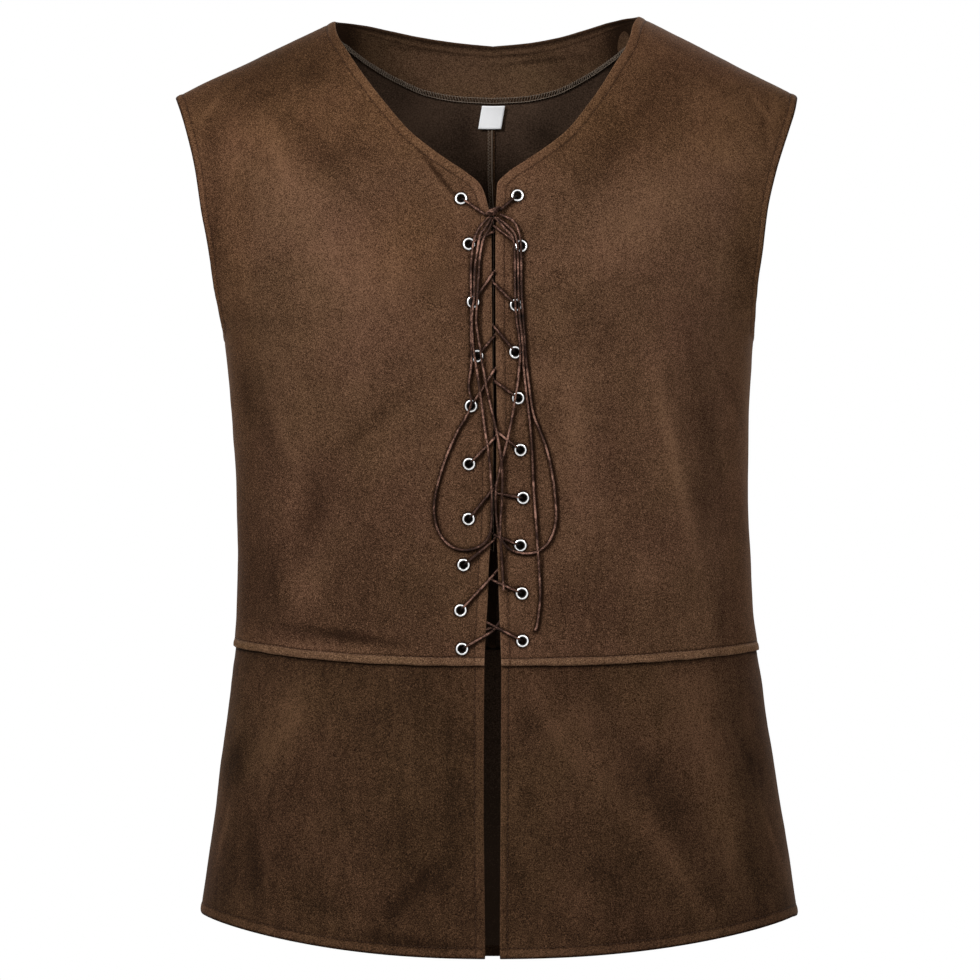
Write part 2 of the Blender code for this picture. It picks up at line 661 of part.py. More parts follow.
def thicken(surface, top, thickness):
    """A closed mesh from a surface: its outer skin at a height over it, its inner one below that."""
    mesh, lift = surface
    normals = {v: square_to_seams(v.normal, v.co) for v in mesh.verts}
    solid = bmesh.new()
    outer = {}
    inner = {}
    for v, normal in normals.items():
        start = v.co + normal * (v[lift] + top)
        outer[v] = solid.verts.new(start * MM)
        inner[v] = solid.verts.new((start - normal * thickness) * MM)
    for face in mesh.faces:
        solid.faces.new([outer[v] for v in face.verts])
        solid.faces.new([inner[v] for v in reversed(face.verts)])
    for edge in mesh.edges:
        if edge.is_boundary:
            corner = edge.link_loops[0]
            a = corner.vert
            b = corner.link_loop_next.vert
            solid.faces.new((outer[b], outer[a], inner[a], inner[b]))
    return solid


def keep(name, mesh, shade, collection):
    """Makes a bmesh an object of the vest, and frees it."""
    data = bpy.data.meshes.new(name)
    mesh.to_mesh(data)
    mesh.free()
    data.materials.append(shade)
    data.shade_smooth()
    data.set_sharp_from_angle(angle=math.radians(40))
    made = bpy.data.objects.new(name, data)
    collection.objects.link(made)
    return made


def piece(name, patches, shade, collection, top=0.0, thickness=WALL):
    surface = open_surface(patches)
    made = keep(name, thicken(surface, top, thickness), shade, collection)
    surface[0].free()
    return made


def straps(rows, left_rows, half_width):
    """Three points a row about the centre back, on the chords of the two back panels."""
    made = []
    for right, left in zip(rows, left_rows):
        line = []
        for near, far in ((left[0][0], left[1][0]), (right[0][0], right[1][0])):
            share = half_width / (far - near).length
            line.append(near + (far - near) * share)
        middle = (left[0][0] + right[0][0]) / 2
        made.append([(line[0], 0.0), (middle, 0.0), (line[1], 0.0)])
    return made


# Eyelets and lace


def frame_at(place):
    """Turns an upright axis to the cloth's normal at a place, and moves it there."""
    point, normal = over_front(place.x, place.z, 0.0)
    turn = Vector((0.0, 0.0, 1.0)).rotation_difference(normal).to_matrix().to_4x4()
    return Matrix.Translation(point * MM) @ turn


def eyelet_mesh(shade):
    """A turned ring: a flange on the cloth and a barrel through it."""
    top = EYELET_PROUD
    seat = EYELET_SEAT
    end = -WALL - EYELET_TAIL
    profile = (
        (EYELET_HOLE, top),
        (EYELET_HOLE, end),
        (EYELET_BARREL, end),
        (EYELET_BARREL, seat),
        (EYELET_RIM, seat),
        (EYELET_RIM - 0.5, top),
    )
    mesh = bmesh.new()
    rings = []
    for i in range(EYELET_SIDES):
        angle = 2 * math.pi * i / EYELET_SIDES
        ring = []
        for radius, height in profile:
            place = Vector((radius * math.cos(angle), radius * math.sin(angle), height))
            ring.append(mesh.verts.new(place * MM))
        rings.append(ring)
    for here, there in zip(rings, rings[1:] + rings[:1]):
        for i in range(len(profile)):
            j = (i + 1) % len(profile)
            mesh.faces.new((here[i], here[j], there[j], there[i]))
    bmesh.ops.recalc_face_normals(mesh, faces=mesh.faces)
    data = bpy.data.meshes.new("eyelet")
    mesh.to_mesh(data)
    mesh.free()
    data.materials.append(shade)
    data.shade_smooth()
    data.set_sharp_from_angle(angle=math.radians(40))
    return data


def punch_holes(front, side, cutters):
    """Cuts the eyelet holes through a front with one cutter that holds a cylinder for each."""
    mesh = bmesh.new()
    radius = (EYELET_BARREL + GAP) / math.cos(math.pi / EYELET_SIDES) * MM
    for place in EYELETS[side]:
        bmesh.ops.create_cone(
            mesh,
            cap_ends=True,
            segments=EYELET_SIDES,
            radius1=radius,
            radius2=radius,
            depth=8 * WALL * MM,
            matrix=frame_at(place) @ Matrix.Translation((0.0, 0.0, -WALL / 2 * MM)),
        )
    data = bpy.data.meshes.new(front.name + "_holes")
    mesh.to_mesh(data)
    mesh.free()
    cutter = bpy.data.objects.new(data.name, data)
    cutter.hide_render = True
    cutter.display_type = "WIRE"
    cutters.objects.link(cutter)
    cut = front.modifiers.new("eyelet holes", "BOOLEAN")
    cut.operation = "DIFFERENCE"
    cut.solver = "EXACT"
    cut.object = cutter


def towards(start, end, distance):
    """The point at a distance from start on the line to end, both as (X, Z)."""
    line = Vector((end[0] - start[0], end[1] - start[1]))
    return Vector(start) + line.normalized() * distance


def at_offset(start, end, offset):
    """The point on the line to end whose X lies at an offset from end's, towards start."""
    share = offset / abs(start[0] - end[0])
    return Vector(end) + (Vector(start) - Vector(end)) * share


def lacing_route(bottom_side):
    """Route of one half of the lace: from the middle inside the bottom, zigzag up to the knot.

    It comes out of an eyelet, runs up to the middle, dives between the fronts and goes behind to
    the next eyelet of the other side. Each point is X, Z and height over the cloth.
    """
    inside = -WALL - 1.7
    side = bottom_side
    level = len(EYELETS[side]) - 1
    middle_z, middle_lift = LACE_MIDDLE
    route = [
        (side * 0.25, middle_z, middle_lift),
        (side * 4.0, middle_z - 0.6, middle_lift + 0.3),
        (side * 10.0, middle_z - 3.4, middle_lift + 2.8),
    ]
    arrive_from = (0.0, middle_z)
    while True:
        eyelet = EYELETS[side][level]
        for distance, lift in ((2.4, inside - 0.45), (1.1, -2.1)):
            route.append((*towards(eyelet, arrive_from, distance), lift))
        if level == 0:
            break
        dive_z = DIVES[side][level - 1]
        middle = (FRONT_EDGE[LEFT](dive_z) + FRONT_EDGE[RIGHT](dive_z)) / 2
        dive = (middle, dive_z)
        following = EYELETS[-side][level - 1]
        for distance, lift in EYELET_EXIT:
            route.append((*towards(eyelet, dive, distance), lift))
        for offset, lift in ((1.5, 1.5), (0.25, 0.7)):
            route.append((*at_offset(eyelet, dive, offset), lift))
        for offset, lift in ((0.2, -WALL - 0.9), (1.4, inside)):
            route.append((*at_offset(following, dive, offset), lift))
        arrive_from = dive
        side = -side
        level -= 1
    end = KNOT_ENTRY[side]
    for distance, lift in EYELET_EXIT:
        route.append((*towards(eyelet, end, distance), lift))
    route.append((*towards(end, eyelet, 6.0), 2.2))
    route.append((*end, KNOT.lift))
    return route


def smooth_route(points, samples):
    """Points on a Catmull-Rom curve through the given ones, with this many for each stretch."""
    padded = [points[0] * 2 - points[1], *points, points[-1] * 2 - points[-2]]
    made = []
    for a, b, c, d in zip(padded, padded[1:], padded[2:], padded[3:]):
        for i in range(samples):
            t = i / samples
            made.append(
                (b * 2 + (c - a) * t + (a * 2 - b * 5 + c * 4 - d) * t**2 + (b * 3 - a - c * 3 + d) * t**3) / 2
            )
    made.append(points[-1])
    return made


def lace_tube(name, route, samples, shade, collection):
    """A stretch of lace as a bevelled curve over the front."""
    points = [over_front(*place)[0] for place in route]
    data = bpy.data.curves.new(name, "CURVE")
    data.dimensions = "3D"
    data.bevel_depth = LACE / 2 * MM
    data.bevel_resolution = 2
    data.use_fill_caps = True
    line = data.splines.new("POLY")
    path = smooth_route(points, samples)
    line.points.add(len(path) - 1)
    for target, point in zip(line.points, path):
        target.co = (*(point * MM), 1.0)
    data.materials.append(shade)
    made = bpy.data.objects.new(name, data)
    collection.objects.link(made)
    return made


def lace_knot(shade, collection):
    centre, _ = over_front(KNOT.x, KNOT.z, KNOT.lift)
    mesh = bmesh.new()
    sizes = (KNOT.half_width, KNOT.half_depth, KNOT.half_height, 1.0)
    place = Matrix.Translation(centre * MM) @ Matrix.Diagonal(sizes)
    bmesh.ops.create_uvsphere(mesh, u_segments=12, v_segments=8, radius=MM, matrix=place)
    return keep("lace_knot", mesh, shade, collection)


def care_label(shade, collection):
    """A bare label that hangs from the lower edge of the facing, leaning in towards the wearer."""
    sunk = WALL + GAP + ALLOWANCE_WALL + GAP + LABEL_WALL / 2
    top_y = cloth_point(0.0, LABEL_TOP, BACK).y - sunk
    bottom_y = cloth_point(0.0, LABEL_BOTTOM, BACK).y - sunk
    mesh = bmesh.new()
    place = (
        Matrix.Translation(Vector((-1.0, (top_y + bottom_y) / 2, (LABEL_TOP + LABEL_BOTTOM) / 2)) * MM)
        @ Matrix.Rotation(math.atan2(top_y - bottom_y, LABEL_TOP - LABEL_BOTTOM), 4, "X").inverted()
        @ Matrix.Diagonal(
            (LABEL_HALF * 2 * MM, LABEL_WALL * MM, (LABEL_TOP - LABEL_BOTTOM) * MM, 1.0)
        )
    )
    bmesh.ops.create_cube(mesh, size=1.0, matrix=place)
    return keep("care_label", mesh, shade, collection)


# The vest


def build():
    for old in list(bpy.data.objects):
        bpy.data.objects.remove(old)
    vest = bpy.data.collections.new("laced_leather_vest")
    cutters = bpy.data.collections.new("cutters")
    bpy.context.scene.collection.children.link(vest)
    bpy.context.scene.collection.children.link(cutters)

    suede = material("suede", (0.11, 0.062, 0.038), 0.9)
    skirt_suede = material("suede_skirt", (0.075, 0.042, 0.026), 0.9)
    inside = material("suede_inside", (0.05, 0.03, 0.02), 0.95)
    steel = material("eyelet_steel", (0.8, 0.82, 0.82), 0.25, 1.0)
    cord = material("lace_suede", (0.13, 0.07, 0.05), 0.85)
    white = material("label_cloth", (0.8, 0.83, 0.85), 0.8)

    fans = {}
    for side in (LEFT, RIGHT):
        name = SIDE_NAME[side]
        front_edge = FRONT_EDGE[side]
        rows = front_yoke(side) + body_rows(
            side, FRONT, FRONT_BODY_ROWS, lambda z: side * front_edge(z), EDGE_COLUMNS, ROUND_COLUMNS
        )
        front = piece(f"front_{name}_bodice", [rows], suede, vest)
        punch_holes(front, side, cutters)
        rows = skirt_rows(side, FRONT, lambda z: side * front_edge(z), EDGE_COLUMNS, ROUND_COLUMNS)
        piece(f"front_{name}_skirt", [rows], skirt_suede, vest)
        fans[side] = back_fan(side)
        piece(f"back_{name}_bodice", [back_neck_band(side, GAP / 2), fans[side]], suede, vest)

    halves = [skirt_rows(side, BACK, lambda z: 0.0, (0.0,), BACK_COLUMNS) for side in (LEFT, RIGHT)]
    rows = [left[::-1] + right[1:] for left, right in zip(*halves)]
    piece("back_skirt", [rows], skirt_suede, vest)

    bands = [back_neck_band(side, 0.0) for side in (LEFT, RIGHT)]
    piece("back_neck_facing", bands, inside, vest, -WALL - GAP, FACING_WALL)
    first = len(BACK_BAND_DROPS)
    last = -3
    rows = straps(fans[RIGHT][first:last], fans[LEFT][first:last], 3.0)
    piece("centre_back_seam_allowance", [rows], inside, vest, -WALL - GAP, ALLOWANCE_WALL)
    care_label(white, vest)

    ring = eyelet_mesh(steel)
    for side in (LEFT, RIGHT):
        for number, place in enumerate(EYELETS[side], 1):
            eyelet = bpy.data.objects.new(f"eyelet_{SIDE_NAME[side]}_{number:02d}", ring)
            eyelet.matrix_world = frame_at(place)
            vest.objects.link(eyelet)

    lace_tube("lacing_from_left", lacing_route(LEFT), 1, cord, vest)
    lace_tube("lacing_from_right", lacing_route(RIGHT), 1, cord, vest)
    lace_knot(cord, vest)
    lace_tube("lace_loop_left", LOOP_LEFT, CORD_SAMPLES, cord, vest)
    lace_tube("lace_loop_right", LOOP_RIGHT, CORD_SAMPLES, cord, vest)
    lace_tube("lace_tail_left", TAIL_LEFT, CORD_SAMPLES, cord, vest)
    lace_tube("lace_tail_right", TAIL_RIGHT, CORD_SAMPLES, cord, vest)


build()
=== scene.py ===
"""The looks of a suede leather vest, laced up the front and filled out as if worn.

The tables are in millimetres, and a mesh is turned into metres when it is made. +Z is up, the
front faces -Y and +X is on the right as the front is seen.
"""

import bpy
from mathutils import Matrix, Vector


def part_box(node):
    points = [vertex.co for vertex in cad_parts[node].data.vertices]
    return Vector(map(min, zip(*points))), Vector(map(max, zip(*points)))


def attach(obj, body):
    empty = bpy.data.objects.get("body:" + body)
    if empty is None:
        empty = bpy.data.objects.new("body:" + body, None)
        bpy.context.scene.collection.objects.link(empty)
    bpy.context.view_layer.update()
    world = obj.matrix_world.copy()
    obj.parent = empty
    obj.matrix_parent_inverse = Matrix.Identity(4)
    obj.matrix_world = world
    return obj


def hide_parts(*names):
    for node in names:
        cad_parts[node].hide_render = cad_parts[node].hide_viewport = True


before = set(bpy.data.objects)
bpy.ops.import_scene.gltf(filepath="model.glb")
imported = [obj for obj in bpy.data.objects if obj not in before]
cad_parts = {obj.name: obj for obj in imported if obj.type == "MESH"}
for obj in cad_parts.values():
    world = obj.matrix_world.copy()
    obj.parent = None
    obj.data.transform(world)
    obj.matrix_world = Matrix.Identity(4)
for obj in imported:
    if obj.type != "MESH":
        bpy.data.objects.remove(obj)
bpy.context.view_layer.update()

import math
from collections import namedtuple

import bpy
import numpy as np
from mathutils import Matrix, Vector, noise

MM = 0.001

# A side and a face are each the sign of their X and Y; the lining is the back's inside
LEFT, RIGHT = -1, 1
FRONT, BACK, LINING = -1, 1, 2
SIDE_NAME = {LEFT: "left", RIGHT: "right"}


def table(kind, *rows):
    """Rows of numbers, each with the fields of its kind."""
    return [kind(*row) for row in rows]


# Driving sizes shared with the model, in millimetres
WALL = 1.2
GAP = 0.3
FACING_WALL = 1.0
SECTION_POWER = 2.4
CROWN_POWER = 2.2
CROWN_ROOT = 1.8
RISE = {FRONT: 240.0, BACK: 190.0}
RIDGE_MIDDLE = 60.0
NAPE_HEIGHT = 14.9
BACK_NECK_SAG = {LEFT: 0.0, RIGHT: 1.6}
BACK_ARMHOLE_INSET = 4.0
WAIST_MIDDLE = -483.0
WAIST_REACH = 209.0
WAIST_POWER = 2.6
WAIST_RISE = {LEFT: 13.4, RIGHT: 9.8}
HEM_MIDDLE = {FRONT: -710.8, BACK: -727.5}
HEM_EDGE = {LEFT: -680.5, RIGHT: -683.9}
HEM_REACH = 238.0
HEM_POWER = 2.2
UNDERARM = -222.0
LAP = 5.8
LACE = 2.0
EYELET_HOLE = 2.75
EYELET_BARREL = 3.15
EYELET_RIM = 4.8
# Inside this radius the eyelet's metal is dark, as painted shade in its hole
EYELET_SHADE_EDGE = 3.5
EYELET_PROUD = 1.05
EYELET_SEAT = 0.42
EYELET_TAIL = 0.6

# Sizes of the sewing, as distances from an edge
NECK_STITCH = 7.0
FRONT_STITCH = {LEFT: 8.0, RIGHT: 6.8}
SKIRT_STITCH = {LEFT: 7.2, RIGHT: 5.6}
ARM_STITCH = 6.0
HEM_STITCH = 8.0
STITCH_PITCH = 3.2
STITCH_LENGTH = 2.3
THREAD = 0.42

# What hangs inside the back neck
ALLOWANCE_TOP = -49.0
LABEL_LEFT = -8.9
LABEL_WIDE = 18.8
LABEL_LEAN = 3.2
LABEL_TOP = -30.6
LABEL_LONG = 18.6
THREADS_END = -396.0

# The camera: its distance from the origin's plane, its place, and the width it sees at that plane
CAMERA_AWAY = 5.0
CAMERA_X = -0.0024
CAMERA_Z = -0.3456
VIEW_WIDTH = 0.784
SENSOR = 36.0
AMBIENT = 0.19

Shoulder = namedtuple("Shoulder", "neck_x neck_z tip_x tip_z")
SHOULDER = {
    LEFT: Shoulder(126.4, 29.4, 253.6, -31.2),
    RIGHT: Shoulder(116.0, 33.2, 243.2, -30.8),
}

# The level sections of the general figure
Section = namedtuple("Section", "z left right front back")
SECTIONS = table(
    Section,
    (-740, 243, 253.2, 131, 128), (-681, 233.6, 243.4, 130, 126), (-618, 224.2, 233.6, 125, 118),
    (-554, 216, 222.9, 118, 109), (-506, 209.8, 215.7, 114, 103), (-474, 207.3, 212.3, 113, 101),
    (-442, 205, 207.9, 113, 100.5), (-400, 204, 205.8, 114.5, 101.5), (-354, 204.8, 204, 118, 105),
    (-298, 208, 204.1, 124, 111), (-250, 212, 206.4, 128.8, 116), (-222, 215.5, 208.7, 130.7, 118.6),
    (-208, 226, 218, 131.2, 119.8), (-186, 240, 231, 131.4, 121.2), (-154, 260, 251, 130.4, 122),
    (-114, 282, 272, 127, 122), (-74, 288, 278, 122, 121), (60, 290, 280, 118, 118),
)

# The front edges from the neck points down to the hem, as X on each side
Edge = namedtuple("Edge", "z left right")
FRONT_EDGES = table(
    Edge,
    (-740, -6.2, 5.4), (-708, -6.3, 5.4), (-588, -7.4, 6), (-482, -6.9, 6.5),
    (-467, -6.4, 6), (-432, -4.4, 4.7), (-400, -3.2, 3.9), (-381, -1.4, 2.9),
    (-353, -0.6, 2.6), (-283, 0.1, 3), (-244, -0.6, 2.3), (-198, -1, 2),
    (-158, -1.3, 1.9), (-129, -2.8, 2.3), (-121.7, -4.6, 2.4), (-116.2, -6, 2.7),
    (-106.7, -10.2, 3.4), (-97.2, -21.1, 11.7), (-87.6, -35.2, 25.7), (-78, -48.6, 39.8),
    (-63.5, -65.9, 57.9), (-44.1, -82.5, 73.7), (-24.4, -97.7, 87.3), (-9.4, -108.2, 96.2),
    (6.1, -118, 105.6), (16.7, -124, 109.6), (24, -126, 111.4), (28.8, -126.4, 113.6),
    (32, -126.4, 116),
)

# The armhole edge from the shoulder tip to the underarm
ARM_EDGES = table(
    Edge,
    (-222, 215.5, 208.7), (-203, 217.7, 208.3), (-188, 220.5, 208.8), (-156, 224.8, 213),
    (-125, 230.4, 216.8), (-92, 235.8, 224.5), (-60, 243.8, 235), (-43, 249.3, 240.6),
    (-32, 253.6, 243.2),
)

# The back neck edge and the facing's lower edge, from the centre back to the shoulder
NeckRow = namedtuple("NeckRow", "edge_x edge_dip band_x band_z")
NECK_ROWS = table(
    NeckRow,
    (0, 1, 0, -29.4), (30, 0.82, 27, -28), (58, 0.57, 53, -23.5),
    (83, 0.27, 79, -12.8), (104, 0.04, 101, -0.5), (118, -0.02, 121, 12.8),
    (126.4, 0, 140, 22.3),
)

# Matching heights at the inner and at the outer end of a bodice's rows
Pair = namedtuple("Pair", "inner outer")
FRONT_YOKE = table(Pair, (-20, -74), (-62, -120), (-92, -166), (-130, -200))
FRONT_BODY = table(Pair, (-184, -240), (-289, -323), (-393, -398), (-469, -456))
BACK_YOKE = table(Pair, (-58, -134), (-118, -176), (-176, -210))
BACK_BODY = table(Pair, (-233, -250), (-341, -334), (-432, -422), (-471, -461))
NAPE_PARTNER = -112.0

# The skirt's rows from its top under the lap to the hem, by distance from the top
SkirtRow = namedtuple("SkirtRow", "place rise share sunk")
SKIRT_ROWS = table(
    SkirtRow,
    (0, 8, 0, 1.55), (8, 0, 0, 1.55), (15, -7, 0, 1.3),
    (24, -16, 0, 0.7), (38, -30, 0, 0), (72, 0, 0.28, 0),
    (236, 0, 1, 0),
)

# The lapped edge of a bodice over its skirt: height over the cloth, by distance over the seam
LAP_RISE = (0.0, 0.3, 1.2, 2.8, 4.4, 5.3, LAP, 7.0, 9.0)
LAP_LIFT = (0.9, 0.9, 0.9, 0.9, 0.8, 0.4, 0.0, 0.0, 0.0)
LAP_PUFF = (-0.5, 0.15, 0.5, 0.6, 0.35, -0.1, -0.35, -0.1, 0.0)

# The largest folds, which the model has too
Fold = namedtuple("Fold", "top_x top_z end_x end_z reach height bow", defaults=(0,))
FOLDS = {
    FRONT: table(
        Fold,
        (-64, -256, -152, -343, 16, -4), (-185, -275, -152, -343, 15, -3),
        (-160, -228, -162, -306, 22, 3), (-152, -350, -155, -418, 18, -3),
        (-162, -464, -112, -466, 9, -2), (-172, -112, -96, -188, 34, 4),
        (-134, -62, -112, -112, 24, -3), (84, -172, 168, -122, 34, 4),
        (131, -256, 158, -388, 14, 3.5), (176, -236, 184, -400, 15, -3),
        (-156, -506, -176, -662, 17, 4), (-46, -506, -52, -590, 16, -2.5),
        (-34, -632, -82, -694, 14, -3), (54, -512, 178, -672, 13, 4),
        (92, -510, 208, -650, 12, -3), (168, -500, 198, -602, 13, 3),
        (44, -560, 68, -616, 14, -3), (80, -620, 98, -690, 15, 2.5),
    ),
    BACK: table(
        Fold,
        (-70, -96, -150, -170, 30, 3.5), (78, -84, 146, -182, 28, 3),
        (-58, -330, -142, -398, 16, -3.5), (50, -352, 138, -420, 15, -3),
        (-168, -250, -156, -330, 17, -2.5), (-96, -508, -128, -680, 18, 4),
        (30, -520, 44, -690, 20, -3), (110, -506, 158, -672, 16, 3.5),
        (-30, -560, -26, -700, 15, 2.5),
    ),
}

# Finer creases, bowed and fading towards their ends
CREASES = {
    FRONT: table(
        Fold,
        (-62, -74, -33, -110, 5, -1.9, -2), (-222, -28, -205, -74, 5, -0.9, 5),
        (-236, -44, -214, -92, 6, 0.8, -4), (214, -30, 224, -62, 5, -0.9, -3),
        (-212, -216, -186, -268, 7, -1.2, 6), (206, -214, 190, -276, 7, -1.2, -5),
        (-196, -300, -176, -352, 6, 0.9, 5), (-128, -300, -92, -262, 7, 1, 3),
        (-176, -380, -136, -430, 8, -1.1, -6), (-110, -398, -74, -452, 11, 0.9, 7),
        (-188, -438, -150, -452, 6, 0.9, 3), (62, -246, 68, -330, 9, 0.9, 3),
        (88, -280, 100, -380, 12, -1.2, -4), (152, -392, 142, -458, 9, 1, 5),
        (112, -430, 170, -462, 7, -1, -4), (-200, -546, -212, -604, 6, -1.3, 3),
        (-214, -612, -226, -668, 6, -1.1, -4), (-120, -520, -104, -600, 12, 1, 6),
        (-100, -610, -136, -690, 11, -1.1, 5), (-62, -560, -70, -640, 10, 0.9, -4),
        (206, -545, 222, -616, 6, -1.3, -3), (148, -600, 204, -676, 9, 1.1, 4),
        (70, -524, 108, -570, 8, -1, 3), (110, -640, 150, -690, 8, -1, -4),
    ),
    BACK: table(
        Fold,
        (-206, -212, -168, -262, 8, -1.3, -6), (204, -208, 170, -270, 8, -1.2, 7),
        (-150, -290, -92, -326, 10, 1, 6), (154, -302, 88, -330, 10, 1, -5),
        (-60, -400, -122, -446, 9, 1.1, -5), (40, -426, 112, -462, 9, 1, 5),
        (-36, -120, -58, -206, 14, -1, 4), (30, -138, 50, -226, 13, -1, -4),
        (-176, -510, -196, -640, 12, -1.2, 5), (70, -516, 88, -620, 11, -1.1, -5),
        (190, -520, 206, -640, 10, 1, 4), (-64, -600, -76, -700, 11, -1, 3),
    ),
}

# Where the suede is lighter or darker, as soft patches that lean from upright. They hold the nap's
# own tone and also painted light and shade: a brighter chest, darker shoulders and lower parts,
# dark lines in creases, and shade inside the back and down the slit
Patch = namedtuple("Patch", "x z half_x half_z lean tone")
PATCHES = {
    FRONT: table(
        Patch,
        (-160, -108, 24, 62, 28, 0.5), (-114, -178, 42, 42, 0, 0.5),
        (-136, -82, 13, 50, 46, -0.6), (-176, -10, 66, 26, 18, -0.65),
        (-139, -14, 11, 10, 0, -0.6), (-178, -32, 24, 6, 25, -0.4),
        (-105, -79, 7, 22, 40, -0.4), (-168, -84, 5, 22, 22, 0.5),
        (-205, -88, 5, 26, 0, 0.35), (-223, -41, 2.4, 13, -38, 0.8),
        (-42.5, -99.5, 1.8, 20, 38, -1.8), (-46, -102.5, 2.2, 16, 38, 0.4),
        (-214.5, -620, 2.2, 30, -12.6, 0.9), (-204, -640, 6, 36, -10, -0.4),
        (-187, -640, 6, 42, 5, -0.7), (-178, -648, 3, 30, 3, 0.3),
        (-67, -698, 36, 6, -6, -1.1), (-135, -670, 16, 8, -12, -0.4),
        (-73, -603, 7, 28, 0, -0.45), (-69, -552, 7, 32, 0, 0.35),
        (-34, -684, 12, 14, -30, 0.35), (84, -196, 40, 44, 0, -0.15),
        (-31, -588, 8, 54, 0, -0.55), (-130, -640, 84, 56, 0, -0.42),
        (112, -616, 54, 46, 0, -0.3), (-219, -144, 7, 34, 4, -0.7),
        (-221, -75, 6, 28, 8, -0.5), (-110, -236, 44, 44, 0, 0.18),
        (-112, -332, 38, 48, -35, -0.2), (-94, -292, 7, 42, -50, -0.6),
        (-140, -360, 9, 30, -11, -0.85), (-181, -291, 10, 46, 20, -0.5),
        (-164, -303, 6, 30, 16, 0.4), (-172, -424, 3.5, 18, 0, -0.6),
        (-58, -443, 32, 20, 0, -0.1), (-196, -268, 5, 15, 4, -0.5),
        (-190, -338, 22, 80, 0, -0.45), (-147, -420, 17, 30, -20, 0.85),
        (-150, -430, 90, 62, 0, -0.75), (-114, -460, 40, 4, -8, -1.3),
        (-140, -469.5, 46, 4, -5, 0.75), (106, -140, 24, 62, -45, 0.6),
        (214, -44, 2.2, 12, 33, 0.8), (215, -62, 4, 18, 0, -0.5),
        (199, -168, 10, 22, 0, -0.5), (170, -40, 14, 12, 0, 0.3),
        (118, -250, 110, 130, 0, 0.22), (120, -446, 90, 34, 0, -0.4),
        (182, -92, 22, 44, -20, 0.35), (104, -62, 20, 66, -38, -0.5),
        (222, -50, 4, 20, -10, 0.5), (143.5, -328, 5.5, 72, 13, 0.8),
        (169, -300, 11, 66, 10, -0.55), (99, -330, 18, 78, 6, -0.4),
        (64, -300, 7, 54, 2, 0.5), (165, -350, 7, 16, 0, -0.4),
        (186, -264, 4, 30, 25, -0.4), (83, -418, 12, 36, 0, -0.3),
        (118, -408, 10, 26, 0, 0.3), (52, -430, 13, 20, 0, -0.3),
        (181, -446, 4, 26, 0, -0.45), (158, -450, 16, 20, 0, 0.45),
        (-163, -528, 13, 38, -22, 0.7), (-45, -512, 28, 30, 0, -0.3),
        (-204, -560, 9, 21, -14, -1), (-66, -662, 7, 34, -45, -0.7),
        (-143, -530, 40, 30, 0, 0.15), (97, -589, 8, 70, 35, 0.3),
        (123, -568, 9, 64, 32, -0.45), (44, -525, 6, 40, 27, 0.5),
        (139, -634, 7, 38, 34, 0.65), (187, -626, 5, 26, -8, 0.35),
        (171, -661, 11, 12, 0, -0.4), (27, -585, 9, 13, 0, -0.65),
        (17, -642, 6, 22, 20, -0.5), (178, -590, 15, 44, 12, 0.4),
        (205, -645, 7, 34, 10, -0.6), (221, -621, 2.2, 30, 19, 0.9),
        (29, -527, 9, 13, 20, -0.6), (161, -534, 17, 44, 10, 0.5),
        (41, -618, 8, 14, 12, -0.3), (205, -560, 8, 17, 20, -0.8),
        (93, -650, 9, 12, 20, -0.4), (107, -669, 50, 20, 0, 0.22),
    ),
    BACK: table(
        Patch,
        (-120, -140, 44, 52, 30, 0.4), (118, -146, 42, 50, -30, 0.4),
        (0, -250, 60, 70, 0, 0.2), (-110, -380, 36, 50, 30, -0.3),
        (104, -396, 36, 46, -30, -0.3), (-150, -560, 26, 60, 0, 0.3),
        (40, -600, 22, 60, 0, -0.3), (140, -560, 24, 56, 20, 0.3),
    ),
    LINING: table(
        Patch,
        (34, 3.6, 2, 30, -84.5, -1), (107, 15, 13, 24, 0, -3),
        (-122, 14, 12, 22, 0, -3), (20, 8.5, 1.8, 18, -88, -0.7),
        (-60, 12.5, 2, 30, 84, -0.45), (70, 4, 36, 24, 0, -0.35),
        (-60, -44, 20, 18, 40, 0.7), (-24, -48, 11, 24, 0, -0.75),
        (30, -32, 18, 14, 0, 0.45), (44, -58, 18, 13, -35, -0.8),
        (14, -106, 50, 30, 0, -1), (0, -280, 60, 110, 0, -1.3),
        (0, -690, 60, 150, 0, -1.5),
    ),
}

# Where the suede is warmer: the heights and the distances from the middle over which that
# begins, and the middle and width of one spot beside the neck
WARM_HEIGHT = (-130, -50)
WARM_REACH = (175, 205)
WARM_SPOT_X = (-62, 40)
WARM_SPOT_Z = (-150, 46)

# Eyelet centres up each front edge, from the top down
Place = namedtuple("Place", "x z")
EYELETS = {
    LEFT: table(
        Place,
        (-25, -118.2), (-18.8, -153.9), (-15.6, -199.1), (-12.5, -241.2),
        (-17.2, -280.1), (-18.8, -325.3), (-19.2, -368.3), (-23.1, -404.2),
        (-25.5, -439.8), (-24.3, -469.9),
    ),
    RIGHT: table(
        Place,
        (19.1, -115.8), (21.8, -155.5), (17.9, -201.5), (17.4, -238.3),
        (19.6, -273.9), (21.4, -314.4), (23.4, -351.8), (21.4, -389),
        (22.6, -426.5), (23, -463.7),
    ),
}

# Where the lace dives between the fronts after each eyelet but the top one, from the top down
DIVES = {
    LEFT: (-144.5, -175.8, -225.9, -251.8, -304.6, -343.3, -384.7, -412, -455.8),
    RIGHT: (-139.8, -184.3, -218.2, -260.6, -298.8, -347.6, -380.4, -416.3, -451.5),
}
LACE_MIDDLE = (-453.6, -9)
KNOT_MIDDLE = (0, -129.6, 3.9)
KNOT_ENTRY = {LEFT: (-6, -131.6), RIGHT: (5.5, -127.9)}

